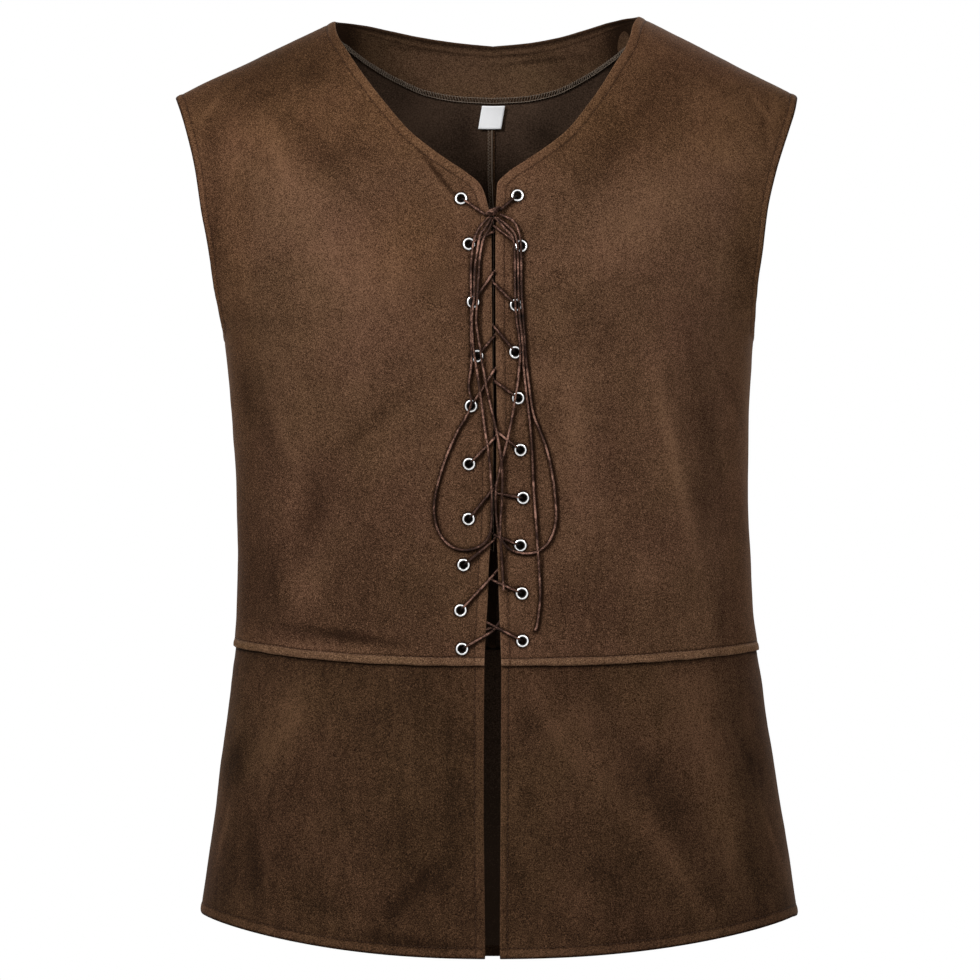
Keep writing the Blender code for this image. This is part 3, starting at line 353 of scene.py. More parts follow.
# The bow, each stretch a list of route points: X, Z and height over the cloth
LOOP_LEFT = (
    (-3.1, -133.4, 3.3), (-6.4, -137, 3.8), (-10.7, -142.2, 4.4), (-15.3, -153.6, 4.8),
    (-17.2, -173.5, 2), (-16.9, -200.8, 2.7), (-17.2, -214, 2), (-17, -226, 2.2),
    (-16.6, -240, 2.7), (-17.2, -250, 2.1), (-19, -264.6, 2.4), (-16.9, -277.4, 4.8),
    (-21.5, -289.1, 2.2), (-28.1, -300.4, 1.7), (-37.5, -322.2, 1.7), (-43.8, -344, 1.7),
    (-46.1, -362, 1.7), (-42.2, -378.4, 1.7), (-32.9, -389.4, 1.7), (-21.2, -392.5, 1.8),
    (-10.2, -389.3, 2.2), (-3.6, -382.3, 3), (-1.2, -371.4, 3.4), (-1.2, -345.6, 3.9),
    (-2.1, -330.8, 3.2), (-4.1, -312.6, 4.4), (-6.3, -298.8, 3), (-8.4, -282.5, 3.4),
    (-10.3, -268.5, 4.6), (-12.2, -255.2, 3.6), (-14.4, -240.6, 4.9), (-16.1, -226.5, 4.7),
    (-16.4, -214.8, 4.5), (-15.7, -204, 5), (-14.7, -194.6, 4.9), (-14.5, -182.9, 4),
    (-13.8, -169.7, 3.8), (-10.3, -149, 4.9), (-6.4, -142.8, 5.2), (-1.2, -134, 4.7),
)
LOOP_RIGHT = (
    (1.3, -134, 4.8), (8.5, -142.1, 5.2), (15.5, -150.3, 4.8), (16.9, -164.9, 3),
    (17, -184.4, 2.2), (17.4, -201.4, 4.8), (18.3, -213.2, 2.8), (21.1, -235, 2.7),
    (19.3, -259.9, 2.4), (17.2, -273, 5.1), (15.1, -286.4, 2.6), (11, -306.6, 4.5),
    (6.8, -323, 2), (3.2, -338.6, 3.6), (2.1, -347.2, 4), (2, -359.7, 2),
    (3.4, -373.7, 2.9), (6.2, -383.5, 4.1), (13.2, -391.7, 2.4), (23.4, -394.8, 1.9),
    (34.3, -393.7, 1.7), (43.7, -385.5, 1.7), (48.8, -370.6, 1.7), (48.4, -351.8, 1.7),
    (45.5, -330, 1.7), (41, -311.3, 1.7), (35.5, -297.2, 1.7), (31.6, -287.1, 1.8),
    (29.2, -273.9, 1.9), (27.8, -263, 1.9), (25, -238.1, 2), (24.2, -224.9, 2),
    (23.3, -211.7, 2.3), (22.4, -197.7, 2.6), (22.1, -185.2, 2), (21.8, -162.6, 3.7),
    (21.5, -152.5, 4.7), (19.1, -142.7, 4.2), (14.6, -136, 4), (5.3, -131.5, 3.6),
)
TAIL_LEFT = (
    (0.3, -134.2, 2.4), (-3.4, -143, 3.4), (-7.4, -150.4, 4.2), (-10.3, -164.1, 2.4),
    (-11, -174.3, 2.2), (-11.7, -185.2, 3.8), (-12.3, -195.4, 4.7), (-12.8, -204.7, 3.6),
    (-13.1, -214.8, 3), (-11.6, -226.5, 3.6), (-9.7, -237.4, 5.1), (-8.6, -246.1, 3.2),
    (-6.8, -255.2, 3.2), (-5.7, -263, 4.2), (-3.7, -272.3, 2.4), (-1.2, -282.5, 2),
    (0.7, -291, 2.6), (2.6, -299.6, 3.9), (4.8, -311.3, 3.4), (6.5, -324, 4.9),
    (7.2, -337.8, 3.4), (7, -349, 4.7), (6.6, -357.4, 3), (5.7, -369.5, 4.2),
    (5.6, -381.9, 6.6), (6.2, -390.5, 4.6), (6.8, -400.3, 2), (7.4, -411.2, 2.6),
    (7.9, -418.8, 4.2), (8.1, -423.7, 4),
)
TAIL_RIGHT = (
    (3.2, -133.6, 2.9), (11.9, -140.8, 3.4), (16.2, -145.6, 4), (18.9, -154.2, 5),
    (19.3, -164.2, 3.4), (19.5, -174.3, 2.1), (19.6, -185.2, 2.2), (19.9, -195.3, 3),
    (20.4, -207, 3.2), (21.6, -219.5, 4.2), (22.8, -230.4, 4.7), (23.3, -240.5, 3.6),
    (23.7, -249.8, 2.2), (25, -262.2, 2), (26.4, -273.9, 2), (27.9, -286.3, 2),
    (29.3, -300.4, 1.8), (30.4, -316.7, 1.7), (31.6, -344.8, 1.7), (33.4, -369, 2),
    (34.3, -384.7, 3.4), (34.8, -393.6, 4.3), (35.6, -403.4, 3.2), (36.4, -415.9, 1.8),
    (36.7, -429.2, 1.7), (35.7, -441, 1.7), (34.5, -450.4, 1.7), (32.7, -455.4, 1.8),
)


# Camera


def add_camera():
    """A level camera, far away, that looks at the middle of the front."""
    data = bpy.data.cameras.new("camera")
    data.sensor_width = SENSOR
    data.lens = SENSOR * CAMERA_AWAY / VIEW_WIDTH
    data.clip_end = 60.0
    made = bpy.data.objects.new("camera", data)
    made.location = (CAMERA_X, -CAMERA_AWAY, CAMERA_Z)
    made.rotation_euler = (math.pi / 2, 0.0, 0.0)
    bpy.context.scene.collection.objects.link(made)
    bpy.context.scene.camera = made


# Curves through the tables


def smooth_curve(xs, ys):
    """A curve through the points that never overshoots them, held level past its ends."""
    order = np.argsort(xs)
    xs = np.array(xs, float)[order]
    ys = np.array(ys, float)[order]
    steps = np.diff(xs)
    slopes = np.diff(ys) / steps
    tangents = np.zeros(len(xs))
    tangents[0] = slopes[0]
    tangents[-1] = slopes[-1]
    for i in range(1, len(xs) - 1):
        if slopes[i - 1] * slopes[i] > 0:
            before = 2 * steps[i] + steps[i - 1]
            after = steps[i] + 2 * steps[i - 1]
            tangents[i] = (before + after) / (before / slopes[i - 1] + after / slopes[i])

    def value(x):
        x = np.clip(x, xs[0], xs[-1])
        i = np.clip(np.searchsorted(xs, x) - 1, 0, len(xs) - 2)
        t = (x - xs[i]) / steps[i]
        return (
            (1 + 2 * t) * (1 - t) ** 2 * ys[i]
            + t * (1 - t) ** 2 * steps[i] * tangents[i]
            + t * t * (3 - 2 * t) * ys[i + 1]
            + t * t * (t - 1) * steps[i] * tangents[i + 1]
        )

    return value


def curve_of(rows, column):
    """The curve of one column of a table by its heights."""
    return smooth_curve([row.z for row in rows], [getattr(row, column) for row in rows])


HALF_WIDTH = {LEFT: curve_of(SECTIONS, "left"), RIGHT: curve_of(SECTIONS, "right")}
DEPTH = {FRONT: curve_of(SECTIONS, "front"), BACK: curve_of(SECTIONS, "back")}
FRONT_EDGE = {LEFT: curve_of(FRONT_EDGES, "left"), RIGHT: curve_of(FRONT_EDGES, "right")}
ARM_EDGE = {LEFT: curve_of(ARM_EDGES, "left"), RIGHT: curve_of(ARM_EDGES, "right")}


def by_side(x, left, right):
    """The left value where X is negative, else the right one."""
    return np.where(np.asarray(x) < 0, left, right)


# The cloth's surface


def ridge_height(x):
    """Height of the shoulder line, carried on across the neck as an arch."""
    across = np.abs(x)
    heights = []
    for side in (LEFT, RIGHT):
        shoulder = SHOULDER[side]
        arch = RIDGE_MIDDLE - (RIDGE_MIDDLE - shoulder.neck_z) * (across / shoulder.neck_x) ** 2
        share = (across - shoulder.neck_x) / (shoulder.tip_x - shoulder.neck_x)
        slope = shoulder.neck_z + (shoulder.tip_z - shoulder.neck_z) * share
        heights.append(np.where(across < shoulder.neck_x, arch, slope))
    return by_side(x, *heights)


def fold_height(x, z, folds, fading=False):
    """Height of folds at X and Z, where fading ones get lower towards both ends."""
    total = np.zeros(np.shape(x))
    for fold in folds:
        run_x = fold.end_x - fold.top_x
        run_z = fold.end_z - fold.top_z
        length = math.hypot(run_x, run_z)
        share = ((x - fold.top_x) * run_x + (z - fold.top_z) * run_z) / length**2
        side = ((x - fold.top_x) * run_z - (z - fold.top_z) * run_x) / length
        inside = np.clip(share, 0.0, 1.0)
        side = side - fold.bow * 4 * inside * (1 - inside)
        past = (share - inside) * length
        height = fold.height * np.exp(-((side**2 + past**2) / fold.reach**2))
        if fading:
            height *= 1 - np.abs(2 * inside - 1) ** 3
        total += height
    return total


def cloth(x, z, face, creased=True):
    """Points of the outer surface at X and Z, on the front or the back."""
    x = np.asarray(x, float)
    z = np.asarray(z, float)
    half = by_side(x, HALF_WIDTH[LEFT](z), HALF_WIDTH[RIGHT](z))
    reach = np.minimum(np.round(np.abs(x) / half, 9), 1.0)
    roundness = (1.0 - reach**SECTION_POWER) ** (1.0 / SECTION_POWER)
    drop = np.clip((ridge_height(x) - z) / RISE[face], 0.0, 1.0)
    crown = (1.0 - (1.0 - drop) ** CROWN_POWER) ** (1.0 / CROWN_ROOT)
    depth = DEPTH[face](z) + fold_height(x, z, FOLDS[face])
    if creased:
        depth = depth + fold_height(x, z, CREASES[face], fading=True)
    return np.stack([x, face * (depth * roundness * crown + GAP / 2), z], axis=-1)


def unit(vectors):
    """The same directions, each of length 1."""
    return vectors / np.maximum(np.linalg.norm(vectors, axis=-1, keepdims=True), 1e-12)


def over_front(x, z, lift):
    """A point at a height over the model's own front, and the normal there."""
    step = 0.5
    around = cloth([x, x + step, x - step, x, x], [z, z, z, z + step, z - step], FRONT, creased=False)
    normal = unit(np.cross(around[1] - around[2], around[3] - around[4]))
    return around[0] + normal * lift, normal


def waist_height(x):
    """Height of the waist seam."""
    share = np.minimum(np.abs(x) / WAIST_REACH, 1.0)
    return WAIST_MIDDLE + by_side(x, WAIST_RISE[LEFT], WAIST_RISE[RIGHT]) * share**WAIST_POWER


def hem_height(x, face):
    """Height of the hem on the front or the back."""
    share = np.minimum(np.abs(x) / HEM_REACH, 1.0)
    edge = by_side(x, HEM_EDGE[LEFT], HEM_EDGE[RIGHT])
    return HEM_MIDDLE[face] + (edge - HEM_MIDDLE[face]) * share**HEM_POWER


def armhole(side, face, z):
    """Distance of the armhole edge from the middle; the back's edge lies a little further in."""
    tip = SHOULDER[side].tip_z
    share = (tip - z) / (tip - UNDERARM)
    inset = BACK_ARMHOLE_INSET * np.sin(np.pi * np.clip(share, 0.0, 1.0)) if face == BACK else 0.0
    return ARM_EDGE[side](z) - inset


def patch_nap_and_painted_light(x, z, face):
    """How much lighter or darker the suede is at X and Z, from its nap and from painted light and shade."""
    total = np.zeros(np.shape(x))
    for patch in PATCHES[face]:
        lean = math.radians(patch.lean)
        across = (x - patch.x) * math.cos(lean) + (z - patch.z) * math.sin(lean)
        along = (z - patch.z) * math.cos(lean) - (x - patch.x) * math.sin(lean)
        total += patch.tone * np.exp(-((across / patch.half_x) ** 2) - (along / patch.half_z) ** 2)
    return total


def warmth(x, z):
    """How much warmer the suede is: most on the shoulders, less down the sides."""
    shoulder = smooth_step(*WARM_HEIGHT, z)
    side = 0.7 * smooth_step(*WARM_REACH, np.abs(x))
    beside_neck = 0.8 * bell(x, *WARM_SPOT_X) * bell(z, *WARM_SPOT_Z)
    return np.maximum(np.maximum(shoulder, side), beside_neck)


# Grids over the cloth


def lengths_along(points):
    """The length of a line up to each of its points."""
    steps = np.linalg.norm(np.diff(points, axis=0), axis=1)
    return np.concatenate([[0.0], np.cumsum(steps)])


def between(places, lengths, values):
    """Rows of values at places, from the rows at the given lengths."""
    return np.stack([np.interp(places, lengths, column) for column in values.T], axis=1)


def at_length(line, places):
    """Points of a line at lengths along it."""
    return between(places, lengths_along(line), line)


def spread(length, near, count, far):
    """Places from 0 to a length: the near ones, even ones between, and the far ones from the end."""
    middle = np.linspace(near[-1], length - far[-1], count + 1)[1:-1]
    return np.concatenate([near, middle, length - np.array(far[::-1])])


def places_along(length, near, step, far):
    """The same, with even places about a step apart."""
    count = max(int(math.ceil((length - far[-1] - near[-1]) / step)), 2)
    return spread(length, near, count, far)


# How finely the lines are sampled that rows and columns are spaced along
Columns = namedtuple("Columns", "near middle far")
STRAIGHT_SHARE = 0.12
STRAIGHT_SAMPLES = 30
TURN_SAMPLES = 160
SIDE_SAMPLES = 240
FRONT_SAMPLES = 600
CENTRE_SAMPLES = 400
NECK_SAMPLES = 160
# How often a distance is worked out again from the height that it gives
SETTLING_ROUNDS = 12
# How near to a seam's plane a point lies on it, and how near to the middle an edge touches it
ON_SEAM = 1e-4
TOUCH = 1e-6
# How many points are compared with a line at once
CHUNK = 1500
# How far apart in the noise two seeds start
SEED_STEP = 17.3


def row_distances(side, face, inner, outer, height_at, columns):
    """Distances from the middle for the columns of one row, spaced by length along the cloth."""
    knee = inner + (outer - inner) * STRAIGHT_SHARE
    half = HALF_WIDTH[side]

    def angle(across):
        return np.arcsin(np.clip(across / half(height_at(across)), 0.0, 1.0) ** (SECTION_POWER / 2))

    first, last = float(angle(knee)), float(angle(outer))

    def distance(place):
        straight = inner + (knee - inner) * np.minimum(place, 1.0)
        turn = first + (last - first) * np.clip(place - 1.0, 0.0, 1.0)
        across = np.full(np.shape(place), outer)
        for _ in range(SETTLING_ROUNDS):
            across = half(height_at(across)) * np.sin(turn) ** (2 / SECTION_POWER)
        return np.where(place <= 1.0, straight, across)

    straight_part = np.linspace(0.0, 1.0, STRAIGHT_SAMPLES)[:-1]
    samples = np.concatenate([straight_part, np.linspace(1.0, 2.0, TURN_SAMPLES)])
    across = distance(samples)
    lengths = lengths_along(cloth(side * across, height_at(across), face, creased=False))
    wanted = spread(lengths[-1], columns.near, columns.middle, columns.far)
    return distance(np.interp(wanted, lengths, samples))


def grid_of(side, face, rows, columns):
    """X and Z of a grid from rows, each an inner and an outer distance and a height between."""
    xs, zs = [], []
    for inner, outer, height_at in rows:
        across = row_distances(side, face, inner, outer, height_at, columns)
        xs.append(side * across)
        zs.append(height_at(across))
    return np.array(xs), np.array(zs)


def edge_points(side, face, edge):
    """A dense line down an edge of a bodice: distance from the middle, and height."""
    shoulder = SHOULDER[side]
    if edge == "outer":
        heights = np.linspace(shoulder.tip_z, UNDERARM, SIDE_SAMPLES)
        across = armhole(side, face, heights)
        end = float(waist_height(side * HALF_WIDTH[side](WAIST_MIDDLE + WAIST_RISE[side])))
        below = np.linspace(UNDERARM, end, SIDE_SAMPLES)[1:]
        return np.concatenate([across, HALF_WIDTH[side](below)]), np.concatenate([heights, below])
    if face == FRONT:
        heights = np.linspace(shoulder.neck_z, WAIST_MIDDLE, FRONT_SAMPLES)
        return side * FRONT_EDGE[side](heights), heights
    neck_x, neck_z = neck_line(side)
    heights = np.linspace(NAPE_HEIGHT, WAIST_MIDDLE, CENTRE_SAMPLES)[1:]
    return np.concatenate([neck_x, np.full(len(heights), GAP / 2)]), np.concatenate([neck_z, heights])


def neck_line(side, middle=GAP / 2, band=False):
    """The back neck edge, or the facing's lower edge, from the shoulder to the centre back."""
    shoulder = SHOULDER[side]
    widest = NECK_ROWS[-1].edge_x
    scale = shoulder.neck_x / widest
    if band:
        xs = [row.band_x * scale for row in NECK_ROWS]
        zs = [row.band_z for row in NECK_ROWS]
        zs[-1] = float(ridge_height(side * xs[-1]))
    else:
        xs = [row.edge_x * scale for row in NECK_ROWS]
        sags = [BACK_NECK_SAG[side] * math.sin(math.pi * row.edge_x / widest) for row in NECK_ROWS]
        drops = [row.edge_dip * (shoulder.neck_z - NAPE_HEIGHT) for row in NECK_ROWS]
        zs = [shoulder.neck_z - drop - sag for drop, sag in zip(drops, sags)]
    knots = np.linspace(0.0, 1.0, len(NECK_ROWS))
    shares = np.linspace(1.0, 0.0, NECK_SAMPLES)
    across = np.maximum(smooth_curve(knots, xs)(shares), middle)
    return across, smooth_curve(knots, zs)(shares)


def bodice_rows(side, face, near, step, far):
    """The rows of a bodice from its shoulder seam to its waist seam."""
    inner_x, inner_z = edge_points(side, face, "inner")
    outer_x, outer_z = edge_points(side, face, "outer")
    inner_length = lengths_along(cloth(side * inner_x, inner_z, face, creased=False))
    outer_length = lengths_along(cloth(side * outer_x, outer_z, face, creased=False))
    pairs = FRONT_YOKE + FRONT_BODY if face == FRONT else BACK_YOKE + BACK_BODY
    inner_at = [0.0]
    outer_at = [0.0]
    if face == BACK:
        nape = len(neck_line(side)[0]) - 1
        inner_at.append(inner_length[nape])
        outer_at.append(np.interp(-NAPE_PARTNER, -outer_z, outer_length))
    for pair in pairs:
        inner_at.append(np.interp(-pair.inner, -inner_z, inner_length))
        outer_at.append(np.interp(-pair.outer, -outer_z, outer_length))
    inner_at.append(inner_length[-1])
    outer_at.append(outer_length[-1])
    levels = (np.array(inner_at) + np.array(outer_at)) / 2
    inner_curve = smooth_curve(levels, inner_at)
    outer_curve = smooth_curve(levels, outer_at)
    rows = []
    places = places_along(levels[-1], near, step, far)
    for place in places:
        at = inner_curve(place)
        inner = float(np.interp(at, inner_length, inner_x))
        start = float(np.interp(at, inner_length, inner_z))
        at = outer_curve(place)
        outer = float(np.interp(at, outer_length, outer_x))
        end = float(np.interp(at, outer_length, outer_z))
        bend = float(np.clip((UNDERARM - end) / (UNDERARM - outer_z[-1]), 0.0, 1.0))
        rows.append((inner, outer, bent_row(side, inner, start, outer, end, bend)))
    return rows, levels[-1] - places


def bent_row(side, inner, start, outer, end, bend):
    """The height along a row that takes on the waist seam's curve as bend goes from 0 to 1."""
    waist_start = waist_height(side * inner)
    waist_end = waist_height(side * outer)

    def height_at(across):
        share = (across - inner) / (outer - inner)
        chord = waist_start + (waist_end - waist_start) * share
        return start + (end - start) * share + bend * (waist_height(side * across) - chord)

    return height_at


def skirt_rows(side, face, near, step, far):
    """The rows of a skirt from its top under the lap to its hem, and how deep each one is sunk."""
    knots = [row.place for row in SKIRT_ROWS]
    rise = smooth_curve(knots, [row.rise for row in SKIRT_ROWS])
    share = smooth_curve(knots, [row.share for row in SKIRT_ROWS])
    sunk = smooth_curve(knots, [row.sunk for row in SKIRT_ROWS])
    rows = []
    places = places_along(knots[-1], near, step, far)
    for place in places:

        def height_at(across, rise=rise(place), share=share(place)):
            waist = waist_height(side * across)
            return waist + rise + (hem_height(side * across, face) - waist) * share

        inner = float(side * FRONT_EDGE[side](height_at(0.0))) if face == FRONT else 0.0
        outer = WAIST_REACH
        for _ in range(SETTLING_ROUNDS):
            outer = float(HALF_WIDTH[side](height_at(outer)))
        rows.append((inner, outer, height_at))
    return rows, sunk(places), knots[-1] - places


def grid_normals(points):
    """Normals of a grid that look away from the figure, and whether its quads look the other way.

    At a seam they are turned to lie along it, so that the walls of both pieces meet squarely.
    """
    normals = unit(np.cross(np.gradient(points, axis=0), np.gradient(points, axis=1)))
    flip = (normals[..., 1] * points[..., 1]).sum() < 0
    if flip:
        normals = -normals
    side_seam = np.abs(np.abs(points[..., 1]) - GAP / 2) < ON_SEAM
    normals[side_seam, 1] = 0.0
    back_seam = (np.abs(np.abs(points[..., 0]) - GAP / 2) < ON_SEAM) & (points[..., 1] > 0)
    normals[back_seam, 0] = 0.0
    return unit(normals), flip


def line_distance(points, line):
    """Distance of each point of a grid from a line, and the place of its nearest point on it."""
    flat = points.reshape(-1, 3).astype(np.float32)
    start = line[:-1].astype(np.float32)
    run = np.diff(line, axis=0).astype(np.float32)
    squared = np.maximum((run**2).sum(axis=1), 1e-9)
    lengths = lengths_along(line)
    distances = np.empty(len(flat), np.float32)
    places = np.empty(len(flat), np.float32)
    for first in range(0, len(flat), CHUNK):
        chunk = slice(first, first + CHUNK)
        part = flat[chunk, None, :] - start[None]
        share = np.clip((part * run).sum(axis=2) / squared, 0.0, 1.0)
        gaps = ((part - share[..., None] * run) ** 2).sum(axis=2)
        best = gaps.argmin(axis=1)
        row = np.arange(len(best))
        distances[chunk] = np.sqrt(gaps[row, best])
        places[chunk] = lengths[best] + share[row, best] * np.sqrt(squared[best])
    shape = points.shape[:-1]
    return distances.reshape(shape).astype(float), places.reshape(shape).astype(float)


def ripple(points, size, seed):
    """Smooth noise over points, about from -1 to 1."""
    flat = points.reshape(-1, 3) / size + seed * SEED_STEP
    values = [noise.noise(Vector(p)) for p in flat.tolist()]
    return np.array(values).reshape(points.shape[:-1])


# Meshes


Tube = namedtuple("Tube", "points faces along around")
# The size of the bumps on a rough tube, round it and along it
BUMP_TURN = 0.8
BUMP_LENGTH = 3.5
# The rings of one stitch: share of its length, size and height in threads, and how far round
StitchRing = namedtuple("StitchRing", "share size height around")
STITCH_RINGS = table(
    StitchRing,
    (-0.5, 0.35, -0.35, 0),
    (-0.32, 0.85, 0, 0.5),
    (0, 1, 0.12, 1),
    (0.32, 0.85, 0, 0.5),
    (0.5, 0.35, -0.35, 0),
)
STITCH_SIDES = 6
STITCH_AIM = 0.4
# How small the level part of a direction is for it to count as upright
UPRIGHT = 0.2


def ring_quads(here, there):
    """Quads between closed rings of point numbers and the rings beside them."""
    return np.stack([here, np.roll(here, -1, 1), np.roll(there, -1, 1), there], axis=-1).reshape(-1, 4)


def mesh_data(name, points, faces, materials, slots=None, uvs=None, attributes=None):
    """A smooth mesh from points in millimetres, with attributes for its points."""
    data = bpy.data.meshes.new(name)
    data.from_pydata((points * MM).tolist(), [], faces)
    for material in materials:
        data.materials.append(material)
    if slots is not None:
        data.polygons.foreach_set("material_index", np.asarray(slots, np.int32))
    if uvs is not None:
        layer = data.uv_layers.new(name="OFBake")
        layer.data.foreach_set("uv", np.asarray(uvs, np.float32).ravel())
    for label, values in (attributes or {}).items():
        layer = data.attributes.new(label, "FLOAT", "POINT")
        layer.data.foreach_set("value", np.asarray(values, np.float32))
    data.shade_smooth()
    data.update()
    return data


def placed(name, data, replaced=None, matrix=None):
    """A piece of the vest from a mesh, attached to the model's root, in place of one of its nodes."""
    made = bpy.data.objects.new(name, data)
    if matrix is not None:
        made.matrix_world = matrix
    bpy.context.scene.collection.objects.link(made)
    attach(made, "root")
    if replaced is not None:
        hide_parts(replaced)
    return made


def thread_frames(points):
    """Two crosswise directions along a line, which twist as little as they can."""
    tangents = unit(np.gradient(points, axis=0))
    normals = np.empty_like(tangents)
    start = np.cross(tangents[0], (0.0, 0.0, 1.0))
    if np.linalg.norm(start) < UPRIGHT:
        start = np.cross(tangents[0], (1.0, 0.0, 0.0))
    normals[0] = unit(start)
    for i in range(1, len(points)):
        turned = normals[i - 1] - tangents[i] * normals[i - 1].dot(tangents[i])
        normals[i] = turned / np.linalg.norm(turned)
    return normals, np.cross(tangents, normals)


def tube(points, radius, sides, flat=1.0, turn=0.0, rough=0.0, seed=0.0):
    """Rings of points round a line, and quads between them with caps of triangles."""
    points = np.asarray(points, float)
    normals, others = thread_frames(points)
    lengths = lengths_along(points)
    angles = np.arange(sides) * 2 * math.pi / sides
    oval = angles - turn * lengths[:, None]
    radii = radius / np.sqrt(np.cos(oval) ** 2 + (np.sin(oval) / flat) ** 2)
    if rough:
        spots = [
            Vector((math.cos(a) * BUMP_TURN, math.sin(a) * BUMP_TURN + seed, along / BUMP_LENGTH))
            for along in lengths
            for a in angles
        ]
        bumps = np.array([noise.noise(spot) for spot in spots])
        radii = radii * (1 + rough * bumps.reshape(radii.shape))
    spokes = np.cos(angles)[:, None] * normals[:, None] + np.sin(angles)[:, None] * others[:, None]
    rings = points[:, None] + radii[..., None] * spokes
    index = np.arange(len(points) * sides).reshape(-1, sides)
    faces = ring_quads(index[:-1], index[1:]).tolist()
    start, end = index.size, index.size + 1
    for j in range(sides):
        k = (j + 1) % sides
        faces.append([start, int(index[0, k]), int(index[0, j])])
        faces.append([end, int(index[-1, j]), int(index[-1, k])])
    return Tube(
        np.concatenate([rings.reshape(-1, 3), points[:1], points[-1:]]),
        faces,
        np.concatenate([np.repeat(lengths, sides), [0.0, lengths[-1]]]),
        np.concatenate([np.tile(np.arange(sides) / sides, len(points)), [0.0, 0.0]]),
    )


def join(tubes):
    """Several tubes as one."""
    faces = []
    first = 0
    for part in tubes:
        faces += [[v + first for v in face] for face in part.faces]
        first += len(part.points)
    points, along, around = (
        np.concatenate([getattr(part, label) for part in tubes]) for label in ("points", "along", "around")
    )
    return Tube(points, faces, along, around)


def thread_piece(name, made, material, slot, replaced=None, **attributes):
    """A piece from a tube, whose points know how far along and around it they lie."""
    attributes = {"along": made.along, "around": made.around, **attributes}
    data = mesh_data(name, made.points, made.faces, [material], attributes=attributes)
    return placed(name, data, replaced)


def stitches(line, normals):
    """Short threads end to end along a line, each sunk a little at both ends."""
    lengths = lengths_along(line)
    centres = np.arange(STITCH_PITCH, lengths[-1] - STITCH_PITCH / 2, STITCH_PITCH)
    middle = at_length(line, centres)
    ahead = unit(at_length(line, centres + STITCH_AIM) - at_length(line, centres - STITCH_AIM))
    up = between(centres, lengths, normals)
    out = unit(up - ahead * (up * ahead).sum(axis=1, keepdims=True))
    across = np.cross(ahead, out)
    points = []
    for ring in STITCH_RINGS:
        for k in range(STITCH_SIDES):
            angle = 2 * math.pi * k / STITCH_SIDES
            high = THREAD * ring.height + THREAD / 2 * ring.size * math.sin(angle)
            wide = THREAD / 2 * ring.size * math.cos(angle)
            points.append(middle + ahead * ring.share * STITCH_LENGTH + out * high + across * wide)
    points = np.stack(points, axis=1)
    index = np.arange(points.shape[1]).reshape(-1, STITCH_SIDES)
    faces = [*ring_quads(index[:-1], index[1:]).tolist(), index[0, ::-1].tolist(), index[-1].tolist()]
    every = [[v + i * index.size for v in face] for i in range(len(centres)) for face in faces]
    around = np.repeat([ring.around for ring in STITCH_RINGS], STITCH_SIDES)
    return Tube(
        points.reshape(-1, 3), every, np.repeat(centres, index.size), np.tile(around, len(centres))
    )


# Materials


class Shade:
    """A material under construction: a Principled shader and short ways to add nodes before it."""

    def __init__(self, name, **values):
        self.material = bpy.data.materials.new(name)
        self.material.use_nodes = True
        self.tree = self.material.node_tree
        self.shader = self.tree.nodes["Principled BSDF"]
        for label, value in values.items():
            self.shader.inputs[label.replace("_", " ")].default_value = value
        self.place = self.node("ShaderNodeTexCoord").outputs["Object"]

    def node(self, kind, **settings):
        made = self.tree.nodes.new(kind)
        for label, value in settings.items():
            setattr(made, label, value)
        return made

    def link(self, source, target):
        self.tree.links.new(source, target)

    def put(self, socket, value):
        if isinstance(value, bpy.types.NodeSocket):
            self.link(value, socket)
        else:
            socket.default_value = value

    def stretched(self, size, turn=(0.0, 0.0, 0.0)):
        made = self.node("ShaderNodeMapping")
        made.inputs["Scale"].default_value = size
        made.inputs["Rotation"].default_value = turn
        self.link(self.place, made.inputs["Vector"])
        return made.outputs["Vector"]

    def noise(self, scale, detail=3.0, roughness=0.55, place=None, distortion=0.0):
        made = self.node("ShaderNodeTexNoise")
        made.inputs["Scale"].default_value = scale
        made.inputs["Detail"].default_value = detail
        made.inputs["Roughness"].default_value = roughness
        made.inputs["Distortion"].default_value = distortion
        self.link(place or self.place, made.inputs["Vector"])
        return made.outputs["Fac"]

    def wave(self, direction, **values):
        made = self.node("ShaderNodeTexWave", wave_type="BANDS", bands_direction=direction)
        for label, value in values.items():
            made.inputs[label].default_value = value
        self.link(self.place, made.inputs["Vector"])
        return made.outputs["Fac"]

    def attribute(self, name):
        made = self.node("ShaderNodeAttribute", attribute_name=name)
        return made.outputs["Fac"]

    def maths(self, operation, first, second=0.0, clamp=False):
        made = self.node("ShaderNodeMath", operation=operation, use_clamp=clamp)
        self.put(made.inputs[0], first)
        self.put(made.inputs[1], second)
        return made.outputs[0]

    def weigh(self, base, *pairs):
        """The base plus each value times its weight, where a noise counts from its middle."""
        total = base
        for value, middle, weight in pairs:
            moved = self.maths("SUBTRACT", value, middle)
            total = self.maths("ADD", total, self.maths("MULTIPLY", moved, weight))
        return total

    def ramp(self, value, *stops):
        made = self.node("ShaderNodeValToRGB")
        elements = made.color_ramp.elements
        while len(elements) < len(stops):
            elements.new(0.5)
        for element, (place, colour) in zip(elements, stops):
            element.position = place
            element.color = (*colour, 1.0)
        self.link(value, made.inputs["Fac"])
        return made.outputs["Color"]

    def multiply(self, first, second):
        made = self.node("ShaderNodeMix", data_type="RGBA", blend_type="MULTIPLY")
        made.inputs["Factor"].default_value = 1.0
        self.link(first, made.inputs[6])
        self.link(second, made.inputs[7])
        return made.outputs[2]

    def bump(self, height, distance, strength=1.0, normal=None):
        made = self.node("ShaderNodeBump")
        made.inputs["Distance"].default_value = distance
        made.inputs["Strength"].default_value = strength
        self.link(height, made.inputs["Height"])
        if normal is not None:
            self.link(normal, made.inputs["Normal"])
        return made.outputs["Normal"]

    def set(self, label, value):
        self.put(self.shader.inputs[label], value)


